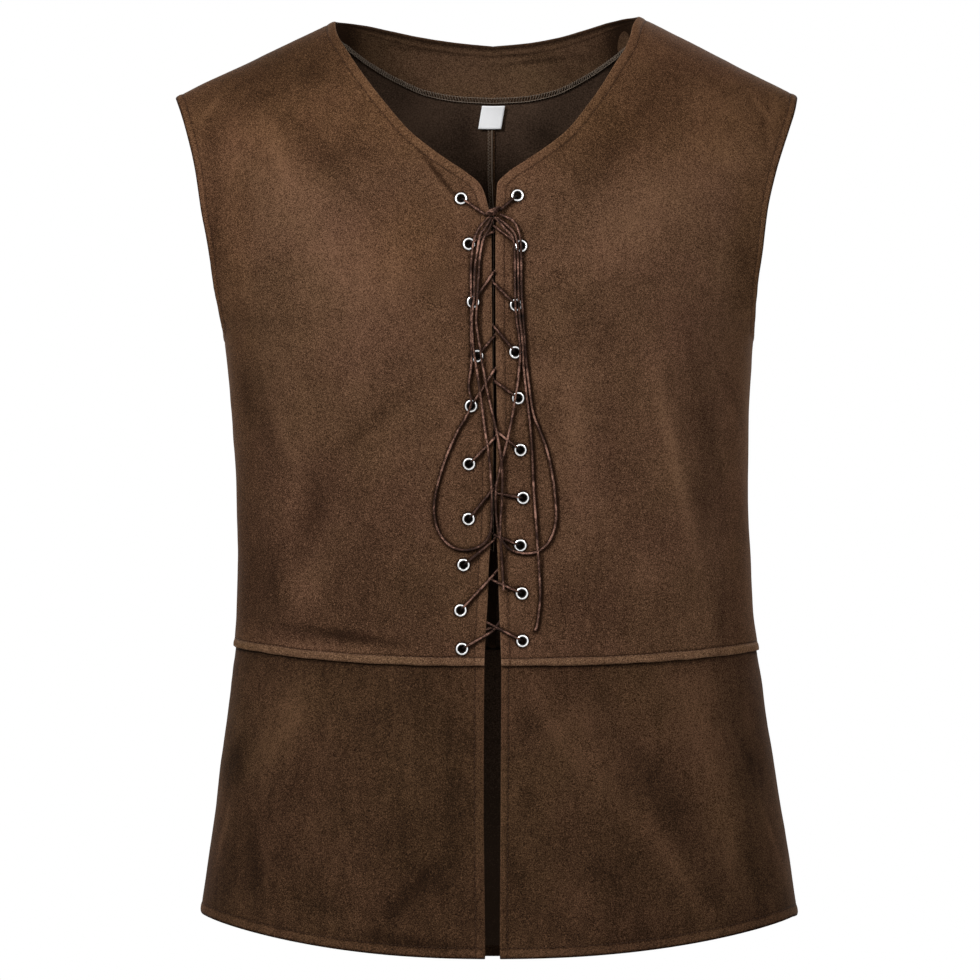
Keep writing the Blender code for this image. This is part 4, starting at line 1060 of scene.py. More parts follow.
def suede(name, dark, middle, light, seed, streaked=0.3, clouded=0.3):
    """Brushed suede: fine grain, mottled nap, paler edges, and lighter and darker patches and grooves whose
    tone is partly painted light and shade.
    """
    shade = Shade(name)
    shift = shade.node("ShaderNodeVectorMath", operation="ADD")
    shade.link(shade.place, shift.inputs[0])
    shift.inputs[1].default_value = (seed, seed * 0.7, -seed)
    shade.place = shift.outputs[0]
    grain = shade.noise(1450.0, 2.0, 0.6)
    fibre = shade.noise(560.0, 2.0, 0.6, distortion=0.6)
    brushed = shade.noise(120.0, 4.0, 0.6, place=shade.stretched((1.0, 1.0, 0.38), (0.0, 0.25, 0.0)))
    mottle = shade.noise(42.0, 5.0, 0.62, distortion=0.3)
    cloud = shade.noise(11.0, 3.0, 0.5)
    tone = shade.weigh(
        0.5,
        (grain, 0.5, 3.1),
        (fibre, 0.5, 0.62),
        (brushed, 0.5, streaked),
        (mottle, 0.5, 0.34),
        (cloud, 0.5, clouded),
        # Painted light and shade: the first attribute holds the patches' tone and the shade beside the
        # laces, the third the shade in grooves, seams, under the lap and round the eyelets
        (shade.attribute("nap"), 0.0, 0.34),
        (shade.attribute("worn"), 0.0, 0.24),
        (shade.attribute("groove"), 0.0, -0.5),
    )
    tinge = shade.ramp(shade.noise(9.0, 4.0, 0.6), (0.38, (0.98, 1.0, 0.96)), (0.62, (1.02, 0.995, 1.03)))
    colour = shade.ramp(tone, (0.0, dark), (0.5, middle), (1.0, light))
    warm = shade.ramp(shade.attribute("warm"), (0.0, (1.0, 1.0, 1.0)), (1.0, (1.0, 0.955, 0.85)))
    shade.set("Base Color", shade.multiply(shade.multiply(colour, tinge), warm))
    shade.set("Roughness", shade.weigh(0.9, (mottle, 0.5, 0.18), (grain, 0.5, 0.1)))
    shade.set("Sheen Weight", 0.03)
    shade.set("Sheen Roughness", 0.4)
    shade.set("Sheen Tint", (0.9, 0.50, 0.30, 1.0))
    shade.set("Specular IOR Level", 0.04)
    height = shade.weigh(0.5, (grain, 0.5, 0.5), (fibre, 0.5, 0.7), (mottle, 0.5, 0.8))
    fine = shade.bump(height, 0.0004, 0.5)
    dent = shade.maths("SUBTRACT", 1.0, shade.attribute("groove"))
    shade.set("Normal", shade.bump(dent, 0.0006, 0.6, fine))
    return shade.material


def knitted_inside(name, dark, light):
    """The cloth's dull inside: a fine knit with faint mottling, and painted shade from its attribute."""
    shade = Shade(name, Roughness=0.95)
    rib = shade.wave("X", Scale=420.0, Distortion=1.5, Detail=1.0)
    course = shade.wave("Z", Scale=360.0, Distortion=1.0)
    grain = shade.noise(900.0, 2.0)
    mottle = shade.noise(38.0, 4.0)
    loops = shade.maths("MULTIPLY", rib, course)
    tone = shade.weigh(
        0.42, (loops, 0.25, 0.35), (grain, 0.5, 1.7), (mottle, 0.5, 0.35), (shade.attribute("nap"), 0.0, 0.4)
    )
    shade.set("Base Color", shade.ramp(tone, (0.0, dark), (1.0, light)))
    shade.set("Specular IOR Level", 0.04)
    shade.set("Normal", shade.bump(shade.maths("ADD", loops, grain), 0.0003, 0.5))
    return shade.material


def thread(name, dark, light):
    """Sewing thread: two fine plies that show as slanting bands."""
    shade = Shade(name, Roughness=0.62)
    along = shade.maths("MULTIPLY", shade.attribute("along"), 7.0)
    bands = shade.maths("SINE", along)
    grain = shade.noise(2200.0, 1.0)
    tone = shade.weigh(0.5, (bands, 0.0, 0.2), (grain, 0.5, 0.5))
    shade.set("Base Color", shade.ramp(tone, (0.0, dark), (1.0, light)))
    shade.set("Specular IOR Level", 0.04)
    shade.set("Normal", shade.bump(bands, 0.0001, 0.6))
    return shade.material


def lace_suede(name, dark, middle, light):
    """A cut suede lace: fibres in streaks along it, and lighter stretches at random that are partly
    its own tone and partly painted highlight; its sides and where it lies in an eyelet get painted shade.
    """
    shade = Shade(name, Roughness=0.5)
    streaks = shade.node("ShaderNodeCombineXYZ")
    shade.link(shade.maths("MULTIPLY", shade.attribute("along"), 0.35), streaks.inputs["X"])
    shade.link(shade.maths("MULTIPLY", shade.attribute("around"), 9.0), streaks.inputs["Y"])
    fibres = shade.noise(1.0, 3.0, 0.7, place=streaks.outputs[0])
    pale_stretches = shade.noise(70.0, 4.0, 0.65)
    grain = shade.noise(1700.0, 2.0)
    # The lace's attribute adds painted shade where it lies in an eyelet and on its sides towards the cloth
    tone = shade.weigh(
        0.55, (fibres, 0.5, 1.2), (pale_stretches, 0.5, 1.7), (grain, 0.5, 1.2), (shade.attribute("sunk"), 0.0, -0.8)
    )
    shade.set("Base Color", shade.ramp(tone, (0.0, dark), (0.5, middle), (0.85, light)))
    shade.set("Specular IOR Level", 0.08)
    shade.set("Normal", shade.bump(shade.maths("ADD", fibres, grain), 0.0003, 0.7))
    return shade.material


def nickel(name, dark, light):
    """Plated steel with faint rubbing."""
    shade = Shade(name, Metallic=1.0)
    cloud = shade.noise(330.0, 3.0)
    scratches = shade.noise(500.0, 2.0, place=shade.stretched((1.0, 6.0, 0.3)))
    shade.set("Base Color", shade.ramp(cloud, (0.2, dark), (0.8, light)))
    shade.set("Roughness", shade.weigh(0.3, (cloud, 0.5, 0.12), (scratches, 0.5, 0.15)))
    shade.set("Normal", shade.bump(scratches, 0.00003, 0.4))
    return shade.material


def label_ribbon(name):
    """A woven white ribbon."""
    shade = Shade(name, Roughness=0.6)
    weave = shade.maths("MULTIPLY", shade.wave("X", Scale=600.0), shade.wave("Z", Scale=900.0))
    mottle = shade.noise(150.0, 3.0)
    tone = shade.weigh(0.5, (weave, 0.3, 0.25), (mottle, 0.5, 0.4))
    shade.set("Base Color", shade.ramp(tone, (0.0, (0.86, 0.87, 0.88)), (1.0, (0.96, 0.96, 0.97))))
    shade.set("Normal", shade.bump(weave, 0.0001, 0.5))
    return shade.material


def floor_paint(name):
    """Pale grey paint with faint clouds."""
    shade = Shade(name, Roughness=0.7)
    cloud = shade.noise(3.0, 3.0)
    shade.set("Base Color", shade.ramp(cloud, (0.0, (0.74, 0.74, 0.73)), (1.0, (0.80, 0.80, 0.79))))
    return shade.material


SUEDE = suede("suede", (0.0155, 0.0070, 0.0034), (0.0610, 0.0298, 0.0155), (0.158, 0.084, 0.048), 0.0)
# The skirt's suede is darker than the bodice's, partly as painted shade for light falling off towards the
# hem
SHADED_SKIRT_SUEDE = suede(
    "suede_skirt", (0.0085, 0.0039, 0.0019), (0.0355, 0.0173, 0.0082), (0.103, 0.053, 0.028), 2.3,
    streaked=0.5, clouded=0.55,
)
# The lap is a lighter copy of the suede: painted highlight on its puffed fold
LIT_LAP_SUEDE = suede("suede_lap", (0.030, 0.0140, 0.0068), (0.106, 0.056, 0.0300), (0.230, 0.135, 0.080), 4.1)
INSIDE = knitted_inside("suede_inside", (0.021, 0.0125, 0.0078), (0.098, 0.060, 0.040))
FACING = suede("suede_facing", (0.022, 0.0110, 0.0058), (0.088, 0.0475, 0.0253), (0.178, 0.101, 0.058), 6.7)
BROWN_THREAD = thread("brown_thread", (0.012, 0.006, 0.004), (0.085, 0.045, 0.028))
TAN_THREAD = thread("tan_thread", (0.030, 0.015, 0.009), (0.230, 0.130, 0.088))
PALE_THREAD = thread("pale_thread", (0.085, 0.060, 0.043), (0.460, 0.365, 0.285))
LACE_SUEDE = lace_suede("lace_suede", (0.004, 0.002, 0.0015), (0.042, 0.019, 0.0125), (0.36, 0.190, 0.138))
NICKEL = nickel("eyelet_steel", (0.62, 0.62, 0.62), (1.0, 1.0, 1.0))
# Dark metal inside the eyelets: painted shade in the holes
SHADED_BARREL = nickel("eyelet_barrel", (0.020, 0.018, 0.017), (0.060, 0.056, 0.054))
LABEL = label_ribbon("label_cloth")


# Laces


# The centrelines of the laces that are made
LACE_LINES = []
ROUTE_SAMPLES = 8
LACE_STEP = 1.1
LACE_SIDES = 12

# Route points of the lacing: distance from the middle, drop and rise where it starts, and then
# distance from an eyelet or from a dive between the fronts, and height over the cloth
LACE_INSIDE = -WALL - 1.7
LACE_START = ((0.25, 0.0, 0.0), (4.0, 0.6, 0.3), (10.0, 3.4, 2.8))
EYELET_ENTRY = ((2.4, LACE_INSIDE - 0.45), (1.1, -2.1))
EYELET_EXIT = ((1.1, 1.35), (2.4, 2.6), (5.3, 2.4))
DIVE_IN = ((1.5, 1.5), (0.25, 0.7))
DIVE_OUT = ((0.2, -WALL - 0.9), (1.4, LACE_INSIDE))

# The soft shade beside the laces: where it can be, which way it is cast and how far it reaches
LACED_HALF_WIDTH = 58.0
LACED_TOP = -112.0
LACED_FOOT = -474.0
SHADE_SHIFT = (0.7, 0.0, -0.6)
SHADE_REACH = 2.0
# A lace casts it from this height on, over this many points at least, and less from higher up
SHADE_FROM = 0.2
SHADE_POINTS = 3
SHADE_START = 1.3
SHADE_FALL = 5.0
SHADE_LEAST = 0.35
# How far from an eyelet's centre, and how high over the cloth, a lace leaves the hole's painted shade
HOLE_EDGE = (2.2, 3.6)
HOLE_LIFT = (3.0, 4.0)

# The knot's bands, with lean in degrees and shift to the right and up
Band = namedtuple("Band", "wide high deep lean right top")
KNOT_BANDS = table(
    Band,
    (5.4, 1.7, 2.2, 29, 0.5, 0.9),
    (4, 1.9, 2.3, 8, -1.2, -0.9),
    (2.1, 2.9, 2.2, 48, 1.8, 0.6),
    (2.2, 2.7, 2, -36, -0.9, -0.4),
)
KNOT_SAMPLES = 30
KNOT_SIDES = 10
KNOT_FLAT = 0.35


def smooth_route(points, samples):
    """Points on a Catmull-Rom curve through the given ones, with this many for each stretch."""
    points = np.asarray(points)
    padded = [points[0] * 2 - points[1], *points, points[-1] * 2 - points[-2]]
    made = []
    for a, b, c, d in zip(padded, padded[1:], padded[2:], padded[3:]):
        slope = c - a
        square = a * 2 - b * 5 + c * 4 - d
        cube = b * 3 - a - c * 3 + d
        for i in range(samples):
            t = i / samples
            made.append((b * 2 + slope * t + square * t**2 + cube * t**3) / 2)
    made.append(points[-1])
    return np.array(made)


def evenly(line, step):
    """A line's points again, about a step apart."""
    length = lengths_along(line)[-1]
    count = max(int(round(length / step)), 2)
    return at_length(line, np.linspace(0.0, length, count + 1))


def towards(start, end, distance):
    """The point at a distance from the start towards the end."""
    line = Vector((end[0] - start[0], end[1] - start[1]))
    return Vector(start) + line.normalized() * distance


def at_offset(start, end, offset):
    """The point between two that lies an offset to the side of the end."""
    share = offset / abs(start[0] - end[0])
    return Vector(end) + (Vector(start) - Vector(end)) * share


def lacing_route(bottom_side):
    """Route of one half of the lace: from the middle inside the bottom, zigzag up to the knot."""
    side = bottom_side
    level = len(EYELETS[side]) - 1
    middle_z, middle_lift = LACE_MIDDLE
    route = [(side * away, middle_z - drop, middle_lift + rise) for away, drop, rise in LACE_START]
    arrive_from = (0.0, middle_z)
    while True:
        eyelet = EYELETS[side][level]
        for distance, lift in EYELET_ENTRY:
            route.append((*towards(eyelet, arrive_from, distance), lift))
        if level == 0:
            break
        dive_z = DIVES[side][level - 1]
        dive = (float(FRONT_EDGE[LEFT](dive_z) + FRONT_EDGE[RIGHT](dive_z)) / 2, dive_z)
        for distance, lift in EYELET_EXIT:
            route.append((*towards(eyelet, dive, distance), lift))
        for offset, lift in DIVE_IN:
            route.append((*at_offset(eyelet, dive, offset), lift))
        for offset, lift in DIVE_OUT:
            route.append((*at_offset(EYELETS[-side][level - 1], dive, offset), lift))
        arrive_from = dive
        side = -side
        level -= 1
    end = KNOT_ENTRY[side]
    for distance, lift in EYELET_EXIT:
        route.append((*towards(eyelet, end, distance), lift))
    route.append((*towards(end, eyelet, 6.0), 2.2))
    route.append((*end, KNOT_MIDDLE[2]))
    return route


def lace(name, node, route, seed):
    """A stretch of lace as a slightly flattened tube that turns about itself, and its centreline."""
    points = np.array([over_front(*place)[0] for place in route])
    line = evenly(smooth_route(points, ROUTE_SAMPLES), LACE_STEP)
    made = tube(line, LACE / 2, LACE_SIDES, flat=0.92, turn=0.09, rough=0.14, seed=seed)
    spokes = made.points[:-2].reshape(-1, LACE_SIDES, 3) - line[:, None]
    facing_out = np.clip(-spokes[..., 1] / np.linalg.norm(spokes, axis=-1), 0.0, 1.0)
    # Painted shade: darker in an eyelet's hole and on the sides that turn away from the front
    sunk = np.maximum(in_eyelet(line)[:, None], 0.7 * (1 - facing_out) ** 1.5)
    sunk = np.append(sunk, (1.0, 1.0))
    LACE_LINES.append(line)
    return thread_piece(name, made, LACE_SUEDE, "lace_suede", node, sunk=sunk), line


def in_eyelet(line):
    """From 0 to 1, how deep each point of a lace lies in an eyelet's dark hole."""
    centres = np.array([(place.x, place.z) for side in (LEFT, RIGHT) for place in EYELETS[side]])
    away = np.linalg.norm(line[:, None, ::2] - centres, axis=-1).min(axis=1)
    lift = cloth(line[:, 0], line[:, 2], FRONT, creased=False)[:, 1] - line[:, 1]
    return smooth_step(*HOLE_EDGE, away, True) * smooth_step(*HOLE_LIFT, lift, True)


def free_lace(name, node, route, seed):
    """A stretch of the bow, which hangs free."""
    piece, line = lace(name, node, route, seed)


def beside_laces(base):
    """From 0 to 1, how deep each point of the front lies in the soft shade beside the laces."""
    total = np.zeros(base.shape[:2])
    high = base[..., 2]
    near = (np.abs(base[..., 0]) < LACED_HALF_WIDTH) & (high < LACED_TOP) & (high > LACED_FOOT)
    flat = (1.0, 0.0, 1.0)
    points = (base[near] * flat)[:, None]
    for line in LACE_LINES:
        skin = cloth(line[:, 0], line[:, 2], FRONT, creased=False)
        height = skin[:, 1] - line[:, 1]
        over = np.concatenate([[False], height > SHADE_FROM, [False]])
        starts = np.nonzero(~over[:-1] & over[1:])[0]
        ends = np.nonzero(over[:-1] & ~over[1:])[0]
        for start, end in zip(starts, ends):
            if end - start < SHADE_POINTS:
                continue
            run = line[start:end] * flat + SHADE_SHIFT
            distance, place = line_distance(points, run)
            lift = np.interp(place, lengths_along(run), height[start:end])
            strength = np.clip(SHADE_START - lift / SHADE_FALL, SHADE_LEAST, 1.0)
            shade = fading(distance, SHADE_REACH) * strength
            total[near] = np.maximum(total[near], shade[:, 0])
    return total


def knot():
    """The bow's knot: the laces wrapped about each other, seen as four crossing bands."""
    centre, normal = over_front(*KNOT_MIDDLE)
    across = unit(np.cross((0.0, 0.0, 1.0), normal))
    across = across if across[0] > 0 else -across
    up = np.cross(normal, across)
    up = up if up[2] > 0 else -up
    parts = []
    for seed, band in enumerate(KNOT_BANDS):
        turn = math.radians(band.lean)
        angles = np.arange(KNOT_SAMPLES + 1) * 2 * math.pi / KNOT_SAMPLES
        wide = band.wide * np.cos(angles)
        high = band.high * np.sin(angles) * KNOT_FLAT
        right = wide * math.cos(turn) - high * math.sin(turn) + band.right
        top = wide * math.sin(turn) + high * math.cos(turn) + band.top
        out = band.deep * np.sin(angles)
        points = centre + right[:, None] * across + top[:, None] * up + out[:, None] * normal
        parts.append(tube(points, LACE / 2, KNOT_SIDES, flat=0.85, turn=0.1, rough=0.1, seed=seed + 9.0))
    thread_piece("lace_knot_wraps", join(parts), LACE_SUEDE, "lace_suede", "lace_knot")


def all_laces():
    """The bow's four free stretches, the two lacing strands and the knot."""
    free_lace("bow_loop_left", "lace_loop_left", LOOP_LEFT, 1.0)
    free_lace("bow_loop_right", "lace_loop_right", LOOP_RIGHT, 2.0)
    free_lace("bow_tail_left", "lace_tail_left", TAIL_LEFT, 3.0)
    free_lace("bow_tail_right", "lace_tail_right", TAIL_RIGHT, 4.0)
    for side, name in SIDE_NAME.items():
        lace("laced_" + name, "lacing_from_" + name, lacing_route(side), 5.0 + side)
    knot()


# Shells


Panel = namedtuple("Panel", "name outer inner normals flip keep")
# How deep along an eyelet's axis its hole is looked for
HOLE_DEPTH = 8.0
# The rings from a shell's outer edge to its inner one, and the shares of its unwrapped picture
RIM_RINGS = 3
SIDE_SHARE = 0.485
RIM_LOW = 0.49
RIM_SHARE = 0.02


def eyelet_centres(side):
    """Each eyelet's centre on the cloth, and the normal there."""
    return [over_front(place.x, place.z, 0.0) for place in EYELETS[side]]


def open_holes(outer, inner, side):
    """Moves the points round each eyelet onto its hole, and marks the quads that are left."""
    keep = np.ones((outer.shape[0] - 1, outer.shape[1] - 1), bool)
    radius = EYELET_BARREL + GAP
    for centre, normal in eyelet_centres(side):
        away = outer - centre
        flat = away - (away @ normal)[..., None] * normal
        middle = (flat[:-1, :-1] + flat[1:, :-1] + flat[:-1, 1:] + flat[1:, 1:]) / 4
        gone = (np.linalg.norm(middle, axis=-1) < radius) & (np.abs(away[:-1, :-1] @ normal) < HOLE_DEPTH)
        touched = np.zeros(outer.shape[:2], bool)
        stays = np.zeros(outer.shape[:2], bool)
        for row, column in ((0, 0), (0, 1), (1, 0), (1, 1)):
            window = (slice(row, row + gone.shape[0]), slice(column, column + gone.shape[1]))
            touched[window] |= gone
            stays[window] |= ~gone
        rim = touched & stays
        for points in (outer, inner):
            away = points[rim] - centre
            height = (away @ normal)[:, None] * normal
            points[rim] = centre + height + unit(away - height) * radius
        keep &= ~gone
    return keep


def plain_panel(name, outer, inner, normals):
    """A panel without holes, whose quads are turned to look along its normals."""
    looks = unit(np.cross(np.gradient(outer, axis=0), np.gradient(outer, axis=1)))
    flip = (looks * normals).sum() < 0
    return Panel(name, outer, inner, normals, flip, no_holes(outer))


def no_holes(points):
    """Every quad of a grid is kept."""
    return np.ones((points.shape[0] - 1, points.shape[1] - 1), bool)


def hole_walls(keep, quads, size):
    """The walls of the holes through a shell, from its outer points to its inner ones."""
    walls = []
    for r, c in zip(*np.nonzero(~keep)):
        for k, beside in enumerate(((r - 1, c), (r, c + 1), (r + 1, c), (r, c - 1))):
            if keep[beside]:
                start, end = quads[r, c, k], quads[r, c, (k + 1) % 4]
                walls.append((start, end, end + size, start + size))
    return np.array(walls)


def rim_places(rows, columns):
    """Grid places round the edge in the quads' own order, and which side each belongs to."""
    places = [(0, c) for c in range(columns - 1)]
    places += [(r, columns - 1) for r in range(rows - 1)]
    places += [(rows - 1, c) for c in range(columns - 1, 0, -1)]
    places += [(r, 0) for r in range(rows - 1, 0, -1)]
    return np.array(places)


def rim_points(panel, bulge, places):
    """The rings of points between the outer and the inner edge, which stand out by the bulge."""
    rows, columns = panel.outer.shape[:2]
    at = (places[:, 0], places[:, 1])
    outer, inner, normal = panel.outer[at], panel.inner[at], panel.normals[at]
    inward = np.clip(places, 1, (rows - 2, columns - 2))
    push = unit(outer - panel.outer[inward[:, 0], inward[:, 1]])
    push = unit(push - (push * normal).sum(axis=1, keepdims=True) * normal)
    sides = (columns - 1, rows - 1, columns - 1, rows - 1)
    amounts = np.concatenate([np.broadcast_to(amount, (length,)) for amount, length in zip(bulge, sides)])
    rings = []
    for ring in range(1, RIM_RINGS):
        share = ring / RIM_RINGS
        out = amounts * math.sin(math.pi * share)
        rings.append(outer + (inner - outer) * share + push * out[:, None])
    return rings


def rim_uvs(edge):
    """Where the quads between the rings lie in the unwrapped picture: a strip along the edge."""
    around = lengths_along(np.append(edge, edge[:1], axis=0))
    around = around / around[-1]
    uvs = []
    for k in range(RIM_RINGS):
        low = RIM_LOW + RIM_SHARE * k / RIM_RINGS
        high = RIM_LOW + RIM_SHARE * (k + 1) / RIM_RINGS
        corners = ((around[1:], low), (around[:-1], low), (around[:-1], high), (around[1:], high))
        uvs.append(np.stack([np.stack(np.broadcast_arrays(*corner), axis=1) for corner in corners], axis=1))
    return uvs


def shell(name, panel, bulge, turned, materials, attributes, lap_rows=0):
    """A closed piece of cloth from a panel, with a rounded edge, in place of the panel's node.

    bulge gives how far the edge stands out along the top, outer, bottom and inner sides. turned
    marks the inner quads where the cloth is turned in and shows its outside. Each attribute has
    a value for the outside and one for the inside. The last rows can have a third material.
    """
    rows, columns = panel.outer.shape[:2]
    outer = panel.outer.reshape(-1, 3)
    inner = panel.inner.reshape(-1, 3)
    size = rows * columns
    index = np.arange(size).reshape(rows, columns)
    quads = np.stack([index[:-1, :-1], index[:-1, 1:], index[1:, 1:], index[1:, :-1]], axis=-1)
    kept = quads[panel.keep]
    lapped = np.zeros((rows - 1, columns - 1), int)
    lapped[rows - 1 - lap_rows :] = 2

    # The outer and inner sides
    v, u = np.meshgrid(np.linspace(0.0, 1.0, rows), np.linspace(0.0, 1.0, columns), indexing="ij")
    outer_uv = np.stack([u, v * SIDE_SHARE], axis=-1).reshape(-1, 2)
    inner_uv = outer_uv + (0.0, 1.0 - SIDE_SHARE)
    faces = [kept, kept[:, ::-1] + size]
    slots = [lapped[panel.keep], np.where(turned[panel.keep], 0, 1)]
    uvs = [outer_uv[kept], inner_uv[kept[:, ::-1]]]

    # The rounded rim between them
    places = rim_places(rows, columns)
    count = len(places)
    edge = index[places[:, 0], places[:, 1]]
    points = [outer, inner, *rim_points(panel, bulge, places)]
    between_edges = [2 * size + ring * count + np.arange(count) for ring in range(RIM_RINGS - 1)]
    rings = [edge, *between_edges, edge + size]
    for a, b in zip(rings, rings[1:]):
        faces.append(np.stack([np.roll(a, -1), a, b, np.roll(b, -1)], axis=1))
        slots.append(np.full(count, lapped[-1, 0]))
    uvs += rim_uvs(outer[edge])

    if not panel.keep.all():
        walls = hole_walls(panel.keep, quads, size)
        faces.append(walls)
        slots.append(np.zeros(len(walls), int))
        uvs.append(np.concatenate([outer_uv, inner_uv])[walls])
    points, faces, slots, uvs = (np.concatenate(lot) for lot in (points, faces, slots, uvs))
    if panel.flip:
        faces = faces[:, ::-1]
        uvs = uvs[:, ::-1]
    used, numbers = np.unique(faces, return_inverse=True)
    values = {}
    for label, pair in attributes.items():
        on_outer, on_inner = (np.broadcast_to(value, (rows, columns)).ravel() for value in pair)
        on_rim = [on_outer[edge]] * (RIM_RINGS - 1)
        values[label] = np.concatenate([on_outer, on_inner, *on_rim])[used]
    faces = numbers.reshape(faces.shape).tolist()
    data = mesh_data(name, points[used], faces, materials, slots, uvs, values)
    return placed(name, data, panel.name)


def bell(distance, middle, width):
    """1 at the middle, falling away on both sides over about a width."""
    return np.exp(-(((distance - middle) / width) ** 2))


def fading(distance, width):
    """1 at no distance, falling away over about a width."""
    return bell(distance, 0.0, width)


def smooth_step(low, high, value, falling=False):
    """From 0 at low to 1 at high with soft ends, or the other way."""
    t = np.clip((value - low) / (high - low), 0.0, 1.0)
    if falling:
        t = 1 - t
    return t * t * (3 - 2 * t)


# How deep and how wide a turned edge drops at its end, stitches dip, and cloth sinks into a seam
EDGE_DROP = 0.3
EDGE_WIDTH = 0.9
STITCH_DIP = 0.28
STITCH_WIDTH = 1.1
SEAM_DIP = 0.42
SEAM_WIDTH = 1.1


def turned_edge(distance, stitch, puff):
    """Height of a turned and stitched edge: a soft roll, a groove at its stitches, then flat."""
    inside = np.clip(distance / stitch, 0.0, 1.0)
    roll = puff * np.sin(np.pi * inside) ** 0.7
    dip = STITCH_DIP * bell(distance, stitch, STITCH_WIDTH)
    return roll - EDGE_DROP * fading(distance, EDGE_WIDTH) - dip


def seam_edge(distance):
    """Height of cloth that sinks into a seam."""
    return -SEAM_DIP * fading(distance, SEAM_WIDTH)


# Lines of sewing that lie on finished panels, kept as (panel, thread, points, normals)
SEWING = []


# Where the columns and rows of the panels lie, from their edges inwards
FRONT_COLUMNS = Columns(
    (0.0, 0.5, 1.2, 2.2, 3.4, 4.6, 5.6, 6.4, 7.2, 8.0, 8.8, 9.8, 10.6, 11.4, 12.4, 13.6,
     *np.arange(15.0, 30.1, 1.5), *np.arange(31.6, 46.1, 1.6), 48.0),
    84,
    (0.0, 0.5, 1.2, 2.2, 3.4, 4.6, 5.4, 6.2, 7.2, 8.6),
)
BACK_COLUMNS = Columns((0.0, 0.5, 1.2, 2.2, 3.4, 4.6, 5.8, 7.0, 8.2, 9.6), 78, FRONT_COLUMNS.far)
BODICE_COLUMNS = {FRONT: FRONT_COLUMNS, BACK: BACK_COLUMNS}
SKIRT_COLUMNS = {FRONT: FRONT_COLUMNS, BACK: Columns((0.0,), 88, BACK_COLUMNS.far)}
BODICE_STEP = {FRONT: 1.8, BACK: 3.4}
SKIRT_STEP = {FRONT: 2.6, BACK: 3.4}
BODICE_TOP = (0.0, 0.6, 1.4, 2.6)
BODICE_FOOT = (0.0, 0.3, 0.9, 1.6, 2.3, 3.0, 3.7, 4.4, 5.0, 5.4, 5.8, 6.4, 7.2, 8.4, 10.0)
SKIRT_TOP = (0.0, 1.5, 4.0)
SKIRT_FOOT = (0.0, 0.5, 1.2, 2.2, 3.4, 4.8, 6.0, 7.0, 8.0, 9.0, 10.2, 12.0)

# The relief of the sewing: how high turned edges roll, how strong and how long the puckers are,
# how dark and wide the painted shade in the grooves of stitches and seams is, how dark the painted
# shade beside the laces is, how wide a pale edge is, and the distance where there is no edge
EDGE_ROLL = 0.42
ARM_ROLL = 0.36
HEM_ROLL = 0.4
PUCKER = 0.14
PUCKER_SIZE = 5.5
GROOVE_SHADE = 0.6
GROOVE_WIDTH = 0.55
HEM_GROOVE_WIDTH = 0.6
SEAM_SHADE = 1.6
LACE_SHADE = 3.0
PALE_EDGE_WIDTH = 1.3
FAR = 99.0

# How far an edge stands out: free and turned, sewn to another, down the front, and below
FREE_BULGE = 0.4
SEWN_BULGE = 0.24
FRONT_BULGE = 0.15
LAP_BULGE = 0.25
HEM_BULGE = 0.5

# Over the skirt the lap is held down at the sides, its seam waves, its puff changes and it sags:
# how much, and the size of the ripple that each follows
LAP_HELD = 0.25
LAP_WAVE = 0.55
LAP_WAVE_SIZE = 26.0
PUFF_CHANGE = 0.35
PUFF_SIZE = 9.0
LAP_SAG = 0.5
LAP_SAG_SIZE = 11.0

# How far from an eyelet's centre the cloth is pressed flat, and how far past its rim it is darkened
# by painted shade
PRESSED = (5.2, 9.5)
RING_NEAR = 0.7
RING_FAR = 1.6
RING_DIP = 0.15
RING_SHADE = 1.2

# How far past its stitches an edge is turned in, and how far the skirt's front edge is
TURNED_PAST = 1.0
SKIRT_TURNED = 8.0
# How far over the lap's edge its groove and its stitches lie, and how dark the groove's painted shade
# is and how wide
LAP_GROOVE = 0.75
LAP_STITCH = 0.2
LAP_SHADE = 1.2
LAP_GROOVE_WIDTH = 0.5
# The shade under the lap: how dark, how far from the skirt's top and how wide
UNDER_LAP = ((0.85, 8.2, 1.6), (0.8, 7.4, 0.8))

# Where each panel's ripples start in the noise
SEEDS = {
    "front_left_bodice": 1,
    "front_right_bodice": 2,
    "back_left_bodice": 3,
    "back_right_bodice": 4,
    "front_left_skirt": 11,
    "front_right_skirt": 12,
    "back_skirt": 13,
}

# Distances from a bodice's edges
To = namedtuple("To", "edge arm side shoulder centre")


def line_where(excess, outer, normals):
    """The points where excess first crosses zero along each row of a grid, and their normals."""
    points = []
    found = []
    for e, p, n in zip(excess, outer, normals):
        crossed = np.nonzero(e[:-1] * e[1:] <= 0)[0]
        if len(crossed):
            k = crossed[0]
            share = -e[k] / ((e[k + 1] - e[k]) or 1.0)
            points.append(p[k] + (p[k + 1] - p[k]) * share)
            found.append(n[k])
    return np.array(points), np.array(found)


def sew(name, colour, excess, outer, normals):
    """Notes a line of sewing on a panel, where excess crosses zero."""
    SEWING.append((name, colour, *line_where(excess, outer, normals)))


